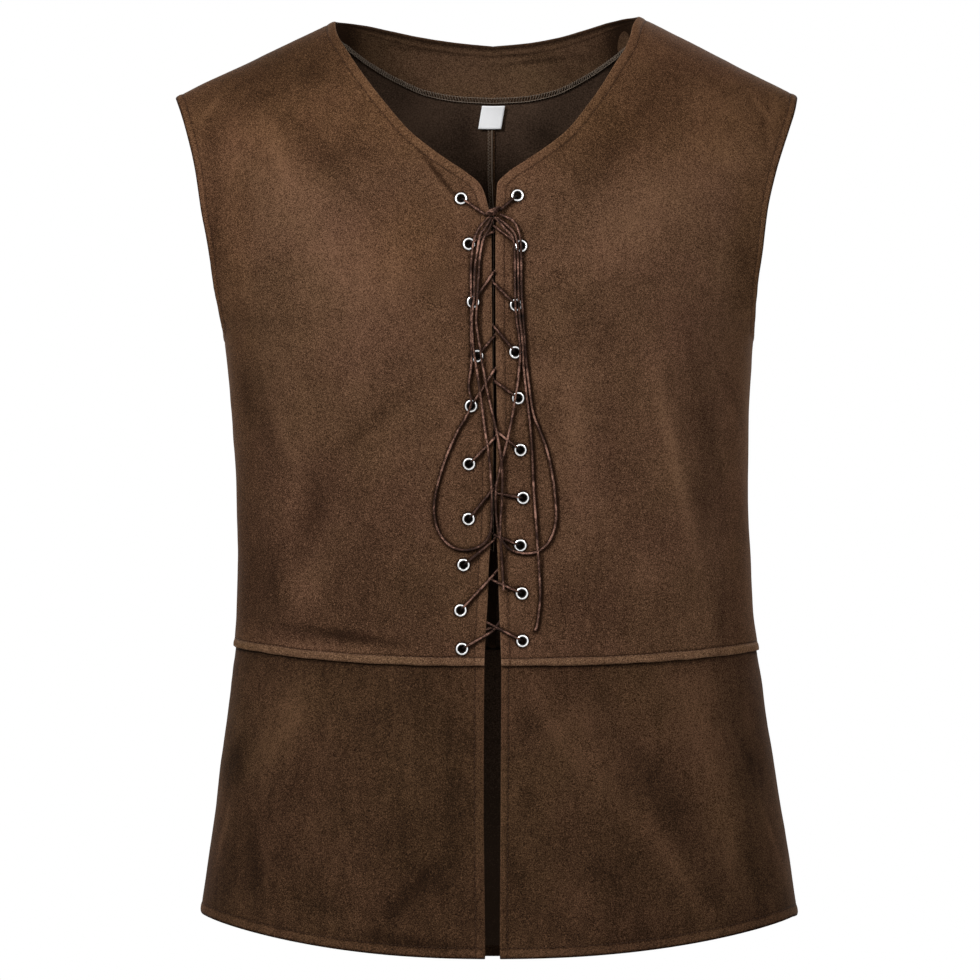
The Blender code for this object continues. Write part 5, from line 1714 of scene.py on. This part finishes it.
def bodice_relief(base, to, stitch, face, seed):
    """A bodice's height over its plain form, the painted shade in its grooves and seams, and how pale its
    edges are.
    """
    near_edge = fading(to.edge, stitch + 5)
    near_arm = fading(to.arm, ARM_STITCH + 4)
    height = (ripple(base, 34.0, seed) * 0.55 + ripple(base, 15.0, seed + 5) * 0.16) * (1 - near_edge * 0.6)
    height = height + turned_edge(to.edge, stitch, EDGE_ROLL) + turned_edge(to.arm, ARM_STITCH, ARM_ROLL)
    height = height + PUCKER * ripple(base, PUCKER_SIZE, seed + 9) * np.maximum(near_edge, near_arm)
    height = height + seam_edge(to.side) + seam_edge(to.shoulder)
    groove = np.maximum(bell(to.edge, stitch, GROOVE_WIDTH), bell(to.arm, ARM_STITCH, GROOVE_WIDTH))
    groove = GROOVE_SHADE * groove
    outline = np.minimum(np.minimum(to.side, to.shoulder), to.arm)
    groove = np.maximum(groove, SEAM_SHADE * fading(outline, SEAM_WIDTH))
    # Paler bands inside the turned edges, and on the front a paler edge itself
    strip = 0.45 * smooth_step(stitch - 2.0, stitch, to.edge, True)
    worn = np.maximum(strip, 0.35 * smooth_step(ARM_STITCH - 2.0, ARM_STITCH, to.arm, True))
    if face == FRONT:
        return height, groove, np.maximum(worn, fading(to.edge, PALE_EDGE_WIDTH))
    height = height + seam_edge(to.centre) * smooth_step(2.0, 12.0, to.edge)
    groove = np.maximum(groove, 0.9 * fading(np.minimum(to.centre, to.edge), 0.9))
    return height, groove, worn


def lap_relief(base, over_waist, to_side, seed):
    """The lap over the skirt: distance over its wavy seam, and its lift, puff and sag."""
    held = LAP_HELD + (1 - LAP_HELD) * smooth_step(0.0, 30.0, to_side)
    wave = LAP_WAVE * ripple(base, LAP_WAVE_SIZE, seed + 4)
    over = over_waist[:, None] + wave * smooth_step(3.0, 9.0, to_side)
    lift = smooth_curve(LAP_RISE, LAP_LIFT)(np.maximum(over, 0.0)) * held
    puff = smooth_curve(LAP_RISE, LAP_PUFF)(np.maximum(over, 0.0)) * held
    puff = puff * (1 + PUFF_CHANGE * ripple(base, PUFF_SIZE, seed + 3))
    on_skirt = smooth_step(0.0, LAP, over_waist, True)[:, None]
    sag = LAP_SAG * ripple(base, LAP_SAG_SIZE, seed + 6) * on_skirt * held
    return over, lift, puff, sag


def eyelet_press(base, side):
    """From 0 to 1, how flat the eyelets press the cloth, and where their rings sit on it."""
    pressed = np.zeros(base.shape[:2])
    ring = np.zeros(base.shape[:2])
    for centre, normal in eyelet_centres(side):
        away = base - centre
        flat = np.linalg.norm(away - (away @ normal)[..., None] * normal, axis=-1)
        pressed = np.maximum(pressed, smooth_step(*PRESSED, flat, True))
        ring = np.maximum(ring, smooth_step(EYELET_RIM + RING_NEAR, EYELET_RIM + RING_FAR, flat, True))
    return pressed, ring


def bodice(side, face):
    """One half of the front or the back, from the shoulder seam to the waist seam."""
    front = face == FRONT
    name = f"{'front' if front else 'back'}_{SIDE_NAME[side]}_bodice"
    seed = SEEDS[name]
    rows, over_waist = bodice_rows(side, face, BODICE_TOP, BODICE_STEP[face], BODICE_FOOT)
    x, z = grid_of(side, face, rows, BODICE_COLUMNS[face])
    nape = len(x) - 1
    if not front:
        nape = int(np.argmax(x[:, 0] * side < GAP / 2 + TOUCH))
        z[nape, 0] = NAPE_HEIGHT
    base = cloth(x, z, face)
    arm_rows = base[:, -1, 2] > UNDERARM
    base[~arm_rows, -1, 1] = face * GAP / 2
    normals, flip = grid_normals(base)

    edges = (base[: nape + 1, 0], base[arm_rows, -1], base[~arm_rows, -1], base[0], base[nape:, 0])
    found = [line_distance(base, edge) if len(edge) > 1 else (None, None) for edge in edges]
    to = To(*(distance for distance, _ in found))
    stitch = np.full(base.shape[:2], NECK_STITCH)
    if front:
        edge_z = np.interp(found[0][1], lengths_along(base[:, 0]), base[:, 0, 2])
        stitch = NECK_STITCH + (FRONT_STITCH[side] - NECK_STITCH) * smooth_step(-140.0, -108.0, edge_z, True)
    height, groove, worn = bodice_relief(base, to, stitch, face, seed)
    over, lift, puff, sag = lap_relief(base, over_waist, to.side, seed)
    height = height * smooth_step(2.0, 14.0, over_waist)[:, None] + puff
    groove = np.maximum(groove, LAP_SHADE * bell(over, LAP + LAP_GROOVE, LAP_GROOVE_WIDTH))
    if front:
        pressed, ring = eyelet_press(base, side)
        height = height * (1 - pressed) - RING_DIP * ring
        groove = np.maximum(groove, RING_SHADE * ring)
    down = sag[..., None] * (0.0, 0.0, 1.0)
    outer = base + normals * (lift + height)[..., None] + down
    inner = base + normals * (lift - WALL)[..., None] + down
    keep = open_holes(outer, inner, side) if front else no_holes(outer)
    panel = Panel(name, outer, inner, normals, flip, keep)

    turned = ((to.edge < stitch + TURNED_PAST) | (to.arm < ARM_STITCH + TURNED_PAST))[:-1, :-1]
    outer_bulge = np.where(arm_rows, FREE_BULGE, SEWN_BULGE)[:-1]
    inner_bulge = FRONT_BULGE
    if not front:
        inner_bulge = np.where(np.arange(len(x)) < nape, FREE_BULGE, SEWN_BULGE)[::-1][:-1]
    # The patches' tone is partly painted light and shade; the fronts also take painted shade beside the
    # laces, and the back's inside the lining patches' painted shade
    nap = patch_nap_and_painted_light(x, z, face)
    lining = 0.0
    if front:
        nap = nap - LACE_SHADE * beside_laces(base)
    else:
        lining = patch_nap_and_painted_light(x, z, LINING)
    attributes = {"nap": (nap, lining), "worn": (worn, 0.0), "groove": (groove, 0.0)}
    attributes["warm"] = (warmth(x, z), 0.0)
    bulge = (SEWN_BULGE, outer_bulge, LAP_BULGE, inner_bulge)
    # The lap's rows take the lighter suede, a painted highlight on the fold
    materials = [SUEDE, INSIDE, LIT_LAP_SUEDE]
    piece = shell(
        name + "_cloth", panel, bulge, turned, materials, attributes, int((over_waist < LAP).sum())
    )
    sew(name, BROWN_THREAD, to.edge - stitch, outer, normals)
    # The armhole's line is looked for from its own edge inwards, and the waist's from the top down
    arm_grids = (grid[arm_rows, ::-1] for grid in (to.arm - ARM_STITCH, outer, normals))
    sew(name, BROWN_THREAD, *arm_grids)
    waist_grids = (grid.swapaxes(0, 1) for grid in (over - LAP - LAP_STITCH, outer, normals))
    sew(name, TAN_THREAD, *waist_grids)
    return piece


def skirt(name, halves, face):
    """A skirt from its top under the lap to its hem, of one side or of both."""
    front = face == FRONT
    seed = SEEDS[name]
    grids = []
    for side in halves:
        rows, sunk, over_hem = skirt_rows(side, face, SKIRT_TOP, SKIRT_STEP[face], SKIRT_FOOT)
        grids.append(grid_of(side, face, rows, SKIRT_COLUMNS[face]))
    x, z = grids[0]
    if not front:
        x, z = (np.concatenate([left[:, ::-1], right[:, 1:]], axis=1) for left, right in zip(*grids))
    base = cloth(x, z, face)
    for column in (-1,) if front else (-1, 0):
        base[:, column, 1] = face * GAP / 2
    normals, flip = grid_normals(base)

    to_hem, _ = line_distance(base, base[-1])
    to_side, _ = line_distance(base, base[:, -1])
    to_edge, _ = line_distance(base, base[:, 0])
    if not front:
        to_side = np.minimum(to_side, to_edge)
        to_edge = np.full(base.shape[:2], FAR)
    stitch = SKIRT_STITCH[halves[0]]
    near = fading(np.minimum(to_edge, to_hem), HEM_STITCH + 4)
    height = (ripple(base, 36.0, seed) * 0.6 + ripple(base, 14.0, seed + 5) * 0.16) * (1 - near * 0.5)
    height = height + turned_edge(to_hem, HEM_STITCH, HEM_ROLL) + turned_edge(to_edge, stitch, EDGE_ROLL)
    height = height + PUCKER * ripple(base, PUCKER_SIZE, seed + 9) * near + seam_edge(to_side)
    from_top = (SKIRT_ROWS[-1].place - over_hem)[:, None]
    height = height * smooth_step(9.0, 26.0, from_top)
    groove = np.maximum(bell(to_hem, HEM_STITCH, HEM_GROOVE_WIDTH), bell(to_edge, stitch, GROOVE_WIDTH))
    groove = GROOVE_SHADE * groove
    groove = np.maximum(groove, SEAM_SHADE * fading(np.minimum(to_side, to_hem), SEAM_WIDTH))
    under_lap = sum(dark * bell(from_top, place, width) for dark, place, width in UNDER_LAP)
    groove = np.maximum(groove, under_lap)
    # Paler bands inside the hem and the front edge, and a paler front edge itself
    strip = 0.9 * smooth_step(HEM_STITCH - 2.5, HEM_STITCH, to_hem, True)
    strip = np.maximum(strip, 0.5 * smooth_step(stitch - 2.0, stitch, to_edge, True))
    worn = np.maximum(strip, fading(to_edge, PALE_EDGE_WIDTH))

    outer = base + normals * (height - sunk[:, None])[..., None]
    inner = base + normals * (-WALL - sunk[:, None])[..., None]
    panel = Panel(name, outer, inner, normals, flip, no_holes(outer))
    turned = ((to_hem < HEM_STITCH + TURNED_PAST) | (to_edge < SKIRT_TURNED))[:-1, :-1]
    # The patches' tone, outside and on the back's inside, is partly painted light and shade
    lining = 0.0 if front else patch_nap_and_painted_light(x, z, LINING)
    attributes = {"nap": (patch_nap_and_painted_light(x, z, face), lining), "worn": (worn, 0.0), "groove": (groove, 0.0)}
    bulge = (0.0, SEWN_BULGE, HEM_BULGE, FRONT_BULGE if front else SEWN_BULGE)
    # The skirt's darker suede is partly painted shade
    piece = shell(name + "_cloth", panel, bulge, turned, [SHADED_SKIRT_SUEDE, INSIDE], attributes)
    hem_grids = (grid[::-1].swapaxes(0, 1) for grid in (to_hem - HEM_STITCH, outer, normals))
    sew(name, BROWN_THREAD, *hem_grids)
    if front:
        low = from_top[:, 0] > 9.0
        sew(name, BROWN_THREAD, to_edge[low] - stitch, outer[low], normals[low])
    return piece


def all_stitches():
    """The sewing of each panel as one piece for each thread."""
    by_panel = {}
    for name, colour, points, normals in SEWING:
        line = evenly(points, 1.5)
        lengths = lengths_along(points)
        along = between(np.linspace(0.0, lengths[-1], len(line)), lengths, normals)
        made = stitches(line + along * 0.02, along)
        by_panel.setdefault((name, colour.name), (colour, []))[1].append(made)
    for (name, label), (colour, parts) in by_panel.items():
        slot = "suede_skirt" if "skirt" in name else "suede"
        thread_piece(f"{name}_{label}", join(parts), colour, slot)


# What shows inside the neck


OVERLOCK_WIDTH = 5.4
# The facing's rows, as shares of its width
FACING_ENDS = (0.0, 0.02, 0.05)
FACING_STEP = 0.035
LABEL_WALL = 0.35
# The allowance's rows and columns, how far its foot reaches below the model's, and how far it
# leans aside at two heights
ALLOWANCE_ROWS = 120
ALLOWANCE_LONGER = 3.4
ALLOWANCE_COLUMNS = (-4.5, -4.1, -3.2, -2.0, -0.8, 0.4, 1.2, 1.5)
ALLOWANCE_LEAN = ((-118.0, -90.0), (1.2, 0.0))


def back_inner(x, z, depth):
    """Points at a depth under the back's outer surface, and normals there that look inwards."""
    step = 0.6
    side = cloth(x + step, z, BACK, creased=False) - cloth(x - step, z, BACK, creased=False)
    up = cloth(x, z + step, BACK, creased=False) - cloth(x, z - step, BACK, creased=False)
    inward = unit(np.cross(side, up))
    inward = np.where(inward[..., 1:2] > 0, -inward, inward)
    return cloth(x, z, BACK, creased=False) + inward * depth, inward


def across_neck(band=False):
    """X and Z of the neck edge, or the facing's lower edge, from shoulder to shoulder."""
    (left_x, left_z), (right_x, right_z) = (neck_line(side, 0.0, band) for side in (LEFT, RIGHT))
    return np.array([np.append(-left_x, right_x[-2::-1]), np.append(left_z, right_z[-2::-1])])


def facing():
    """The band of suede sewn inside the back neck, with its overlocked lower edge."""
    edge = across_neck()
    band = across_neck(band=True)
    shares = places_along(1.0, FACING_ENDS, FACING_STEP, FACING_ENDS)[:, None]
    x, z = edge[:, None] + (band - edge)[:, None] * shares
    wear, inward = back_inner(x, z, WALL + GAP)
    # The lining patches paint shade on the facing as well as giving its tone and thickness
    nap = patch_nap_and_painted_light(x, z, LINING)
    thick = FACING_WALL + ripple(wear, 30.0, 21) * 0.25 + 0.1 + 0.4 * nap
    outer = wear + inward * thick[..., None]
    panel = plain_panel("back_neck_facing", outer, wear, inward)
    # Painted shade along the facing's neck edge, at a line below it and along its lower edge
    groove = np.maximum(1.2 * smooth_step(0.01, 0.08, shares, True), 0.5 * bell(shares, 0.15, 0.02))
    groove = np.maximum(groove, 0.5 * smooth_step(0.89, 0.92, shares))
    attributes = {"nap": (nap, 0.0), "worn": (0.0, 0.0), "groove": (groove, 0.0)}
    bulge = (0.5, 0.0, 0.3, 0.0)
    materials = [FACING, INSIDE]
    piece = shell("back_neck_facing_cloth", panel, bulge, panel.keep, materials, attributes)
    within = np.array([at_length(outer[::-1, j], [OVERLOCK_WIDTH])[0] for j in range(outer.shape[1])])
    overlock("facing_overlock", outer[-1], within, inward[-1], pitch=1.15, thick=0.38)
    return piece


def overlock(name, line, within, normals, pitch, thick):
    """An overlocked edge: slanting threads over it, between a chain and a needle line."""
    lengths = lengths_along(line)
    places = np.arange(0.0, lengths[-1], pitch)
    edge = at_length(line, places)
    up = between(places, lengths, normals)
    width = between(places, lengths, within - line)
    zig = (np.arange(len(places)) % 2)[:, None]
    reach = zig * (1 + 0.14 * ripple(edge, 5.0, 31))[:, None]
    zigzag = edge + width * (reach - 0.05) + up * thick * 1.2
    chain = edge + width * (0.05 + 0.05 * zig) + up * thick * 1.6
    needle = edge + width * 0.86 + up * thick * (0.7 + 0.6 * zig)
    parts = [tube(zigzag, thick, 6), tube(chain, thick * 0.5, 6, rough=0.3), tube(needle, thick * 0.36, 6)]
    thread_piece(name, join(parts), PALE_THREAD, "suede_inside")


def seam_allowance():
    """The overlocked ridge down the centre back seam, inside."""
    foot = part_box("centre_back_seam_allowance")[0][2] / MM - ALLOWANCE_LONGER
    heights = np.linspace(ALLOWANCE_TOP, foot, ALLOWANCE_ROWS)
    z, x = np.meshgrid(heights, ALLOWANCE_COLUMNS, indexing="ij")
    ridge = fading(x + 0.6, 1.1) * 0.7
    x = x + np.interp(z, *ALLOWANCE_LEAN)
    skin, inward = back_inner(x, z, WALL + GAP)
    outer = skin + inward * (0.9 + (ridge + ripple(skin, 12.0, 33) * 0.2))[..., None]
    panel = plain_panel("centre_back_seam_allowance", outer, skin, inward)
    # Painted shade inside the back: darker all over, and darker still further down
    nap = -1.6 * smooth_step(-150.0, -90.0, z, True) - 0.9
    attributes = {"nap": (nap, 0.0), "worn": (0.0, 0.0), "groove": (0.0, 0.0)}
    bulge = (0.0, 0.1, 0.0, 0.1)
    materials = [FACING, INSIDE]
    shell("centre_back_allowance_cloth", panel, bulge, panel.keep, materials, attributes)
    sewn = heights > THREADS_END
    edges = (outer[sewn, 1], outer[sewn, 3], inward[sewn, 1])
    overlock("centre_back_overlock", *edges, pitch=1.3, thick=0.24)
    ridge_line = (outer[:, 4] + inward[:, 4] * 0.3)[sewn]
    needle = tube(ridge_line, 0.34, 6, rough=0.4)
    thread_piece("centre_back_needle_line", needle, PALE_THREAD, "suede_inside")


def label():
    """A bare woven ribbon that hangs from the facing's lower edge."""
    down, across = np.meshgrid(np.linspace(0.0, 1.0, 17), np.linspace(0.0, 1.0, 15), indexing="ij")
    x = LABEL_LEFT + LABEL_WIDE * across - LABEL_LEAN * down
    z = LABEL_TOP - LABEL_LONG * down
    skin, inward = back_inner(x, z, WALL + GAP + FACING_WALL + GAP + 0.9)
    curl = 1.1 * down**2 + 0.5 * np.sin(np.pi * across) + 0.8 * (1 - down) ** 3
    outer = skin + inward * curl[..., None]
    panel = plain_panel("care_label", outer, outer - inward * LABEL_WALL, inward)
    bulge = (0.05,) * 4
    attributes = {"nap": (0.0, 0.0)}
    return shell("care_label_ribbon", panel, bulge, panel.keep, [LABEL, LABEL], attributes)


# Eyelets


EYELET_SIDES = 40
RIM_ROUND = 0.82
# The rim's rounded top: how much of a half turn it is, and its steps
ARC = 0.92
ARC_STEPS = 10


def eyelets():
    """Plated rings, each turned from one rounded profile and set square to the cloth."""
    tail = -WALL - EYELET_TAIL
    profile = [(EYELET_HOLE, tail + 0.2), (EYELET_HOLE, 0.2)]
    profile += [(EYELET_HOLE + 0.08, 0.5), (EYELET_HOLE + 0.3, 0.78)]
    middle = EYELET_RIM - RIM_ROUND
    for i in range(ARC_STEPS + 1):
        angle = math.pi * (ARC - ARC * i / ARC_STEPS)
        high = EYELET_SEAT + (EYELET_PROUD - EYELET_SEAT) * math.sin(angle)
        profile.append((middle + RIM_ROUND * math.cos(angle), high))
    profile += [(EYELET_RIM - 0.15, EYELET_SEAT - 0.25), (EYELET_BARREL, EYELET_SEAT - 0.2)]
    profile += [(EYELET_BARREL, tail + 0.2), ((EYELET_HOLE + EYELET_BARREL) / 2, tail)]
    angles = np.arange(EYELET_SIDES) * 2 * math.pi / EYELET_SIDES
    turned = np.stack([np.cos(angles), np.sin(angles), np.ones(EYELET_SIDES)], axis=1)
    rings = np.array([turned * (r, r, h) for r, h in profile])
    index = np.arange(len(profile) * EYELET_SIDES).reshape(len(profile), EYELET_SIDES)
    faces = ring_quads(index, np.roll(index, -1, axis=0)).tolist()
    # The faces inside that radius take the dark metal, painted shade in the hole
    inside = np.repeat([r < EYELET_SHADE_EDGE for r, h in profile], EYELET_SIDES)
    data = mesh_data("eyelet", rings.reshape(-1, 3), faces, [NICKEL, SHADED_BARREL], inside)
    for side, name in SIDE_NAME.items():
        for number, (point, normal) in enumerate(eyelet_centres(side), 1):
            turn = Vector((0.0, 0.0, 1.0)).rotation_difference(Vector(normal)).to_matrix().to_4x4()
            matrix = Matrix.Translation(Vector(point) * MM) @ turn
            label = f"{name}_{number:02d}"
            placed("ring_" + label, data, "eyelet_" + label, matrix)


# Stage and light


FLOOR_RADIUS = 1.7
FLOOR_HEIGHT = -1.02


def add_floor():
    """A pale round floor below the vest."""
    bpy.ops.mesh.primitive_circle_add(
        vertices=96, radius=FLOOR_RADIUS, fill_type="NGON", location=(0.0, 0.0, FLOOR_HEIGHT)
    )
    floor = bpy.context.object
    floor.name = "floor"
    floor.data.materials.append(floor_paint("floor_paint"))


def add_light(name, place, aim, width, power):
    """A square white light that looks at a point."""
    data = bpy.data.lights.new(name, "AREA")
    data.shape = "RECTANGLE"
    data.size = width
    data.size_y = width
    data.energy = power
    made = bpy.data.objects.new(name, data)
    made.location = place
    made.rotation_euler = (Vector(aim) - Vector(place)).to_track_quat("-Z", "Y").to_euler()
    bpy.context.scene.collection.objects.link(made)


def add_lights():
    """Two soft lights before the vest and two behind it."""
    add_light("key_left", (-1.0, -1.35, 0.6), (-0.05, 0.0, -0.3), 0.38, 30.0)
    add_light("key_right", (0.95, -1.5, 0.5), (0.08, 0.0, -0.3), 0.5, 15.0)
    add_light("back_left", (0.9, 1.5, 0.7), (0.0, 0.0, -0.3), 0.6, 24.0)
    add_light("back_right", (-0.95, 1.6, 0.6), (0.0, 0.0, -0.3), 0.6, 15.0)


def add_world():
    """A white surround: the camera and reflections see it bright, and it lights the cloth softly."""
    world = bpy.data.worlds.new("studio")
    world.use_nodes = True
    tree = world.node_tree
    background = tree.nodes["Background"]
    background.inputs["Color"].default_value = (1.0, 1.0, 1.0, 1.0)
    rays = tree.nodes.new("ShaderNodeLightPath")
    strength = AMBIENT
    for kind in ("Is Glossy Ray", "Is Camera Ray"):
        choice = tree.nodes.new("ShaderNodeMix")
        tree.links.new(rays.outputs[kind], choice.inputs["Factor"])
        choice.inputs["B"].default_value = 1.0
        if isinstance(strength, float):
            choice.inputs["A"].default_value = strength
        else:
            tree.links.new(strength, choice.inputs["A"])
        strength = choice.outputs["Result"]
    tree.links.new(strength, background.inputs["Strength"])
    bpy.context.scene.world = world
    bpy.context.scene.view_settings.view_transform = "Standard"


# What each piece was cut to before it was sewn, in metres and square metres
Cut = namedtuple("Cut", "width length area held rests_on")
CUTS = {
    "front_left_bodice": Cut(0.295, 0.585, 0.122, "draped", ("back_left_bodice",)),
    "front_right_bodice": Cut(0.290, 0.585, 0.121, "draped", ("back_right_bodice",)),
    "back_left_bodice": Cut(0.280, 0.585, 0.132, "draped", ("back_right_bodice",)),
    "back_right_bodice": Cut(0.275, 0.585, 0.130, "draped", ("back_left_bodice",)),
    "front_left_skirt": Cut(0.300, 0.240, 0.063, "hung", ("front_left_bodice",)),
    "front_right_skirt": Cut(0.310, 0.240, 0.065, "hung", ("front_right_bodice",)),
    "back_skirt": Cut(0.620, 0.255, 0.135, "hung", ("back_left_bodice", "back_right_bodice")),
    "back_neck_facing": Cut(0.390, 0.055, 0.0134, "draped", ("back_left_bodice", "back_right_bodice")),
    "care_label": Cut(0.0188, 0.0190, None, "hung", ("back_neck_facing",)),
}


def declare_sheets():
    """Gathers the scene's meshes and reads what each cut piece rests on, but states nothing."""
    pieces = [piece for piece in bpy.context.scene.objects if piece.type == "MESH"]
    for name, cut in CUTS.items():
        list(cut.rests_on)


def build():
    """The whole scene; the laces come first, because the fronts take their shade from them."""
    add_camera()
    all_laces()
    for side in (LEFT, RIGHT):
        name = SIDE_NAME[side]
        bodice(side, FRONT)
        bodice(side, BACK)
        skirt(f"front_{name}_skirt", (side,), FRONT)
    skirt("back_skirt", (LEFT, RIGHT), BACK)
    facing()
    label()
    seam_allowance()
    all_stitches()
    eyelets()
    declare_sheets()
    add_floor()
    add_lights()
    add_world()


build()
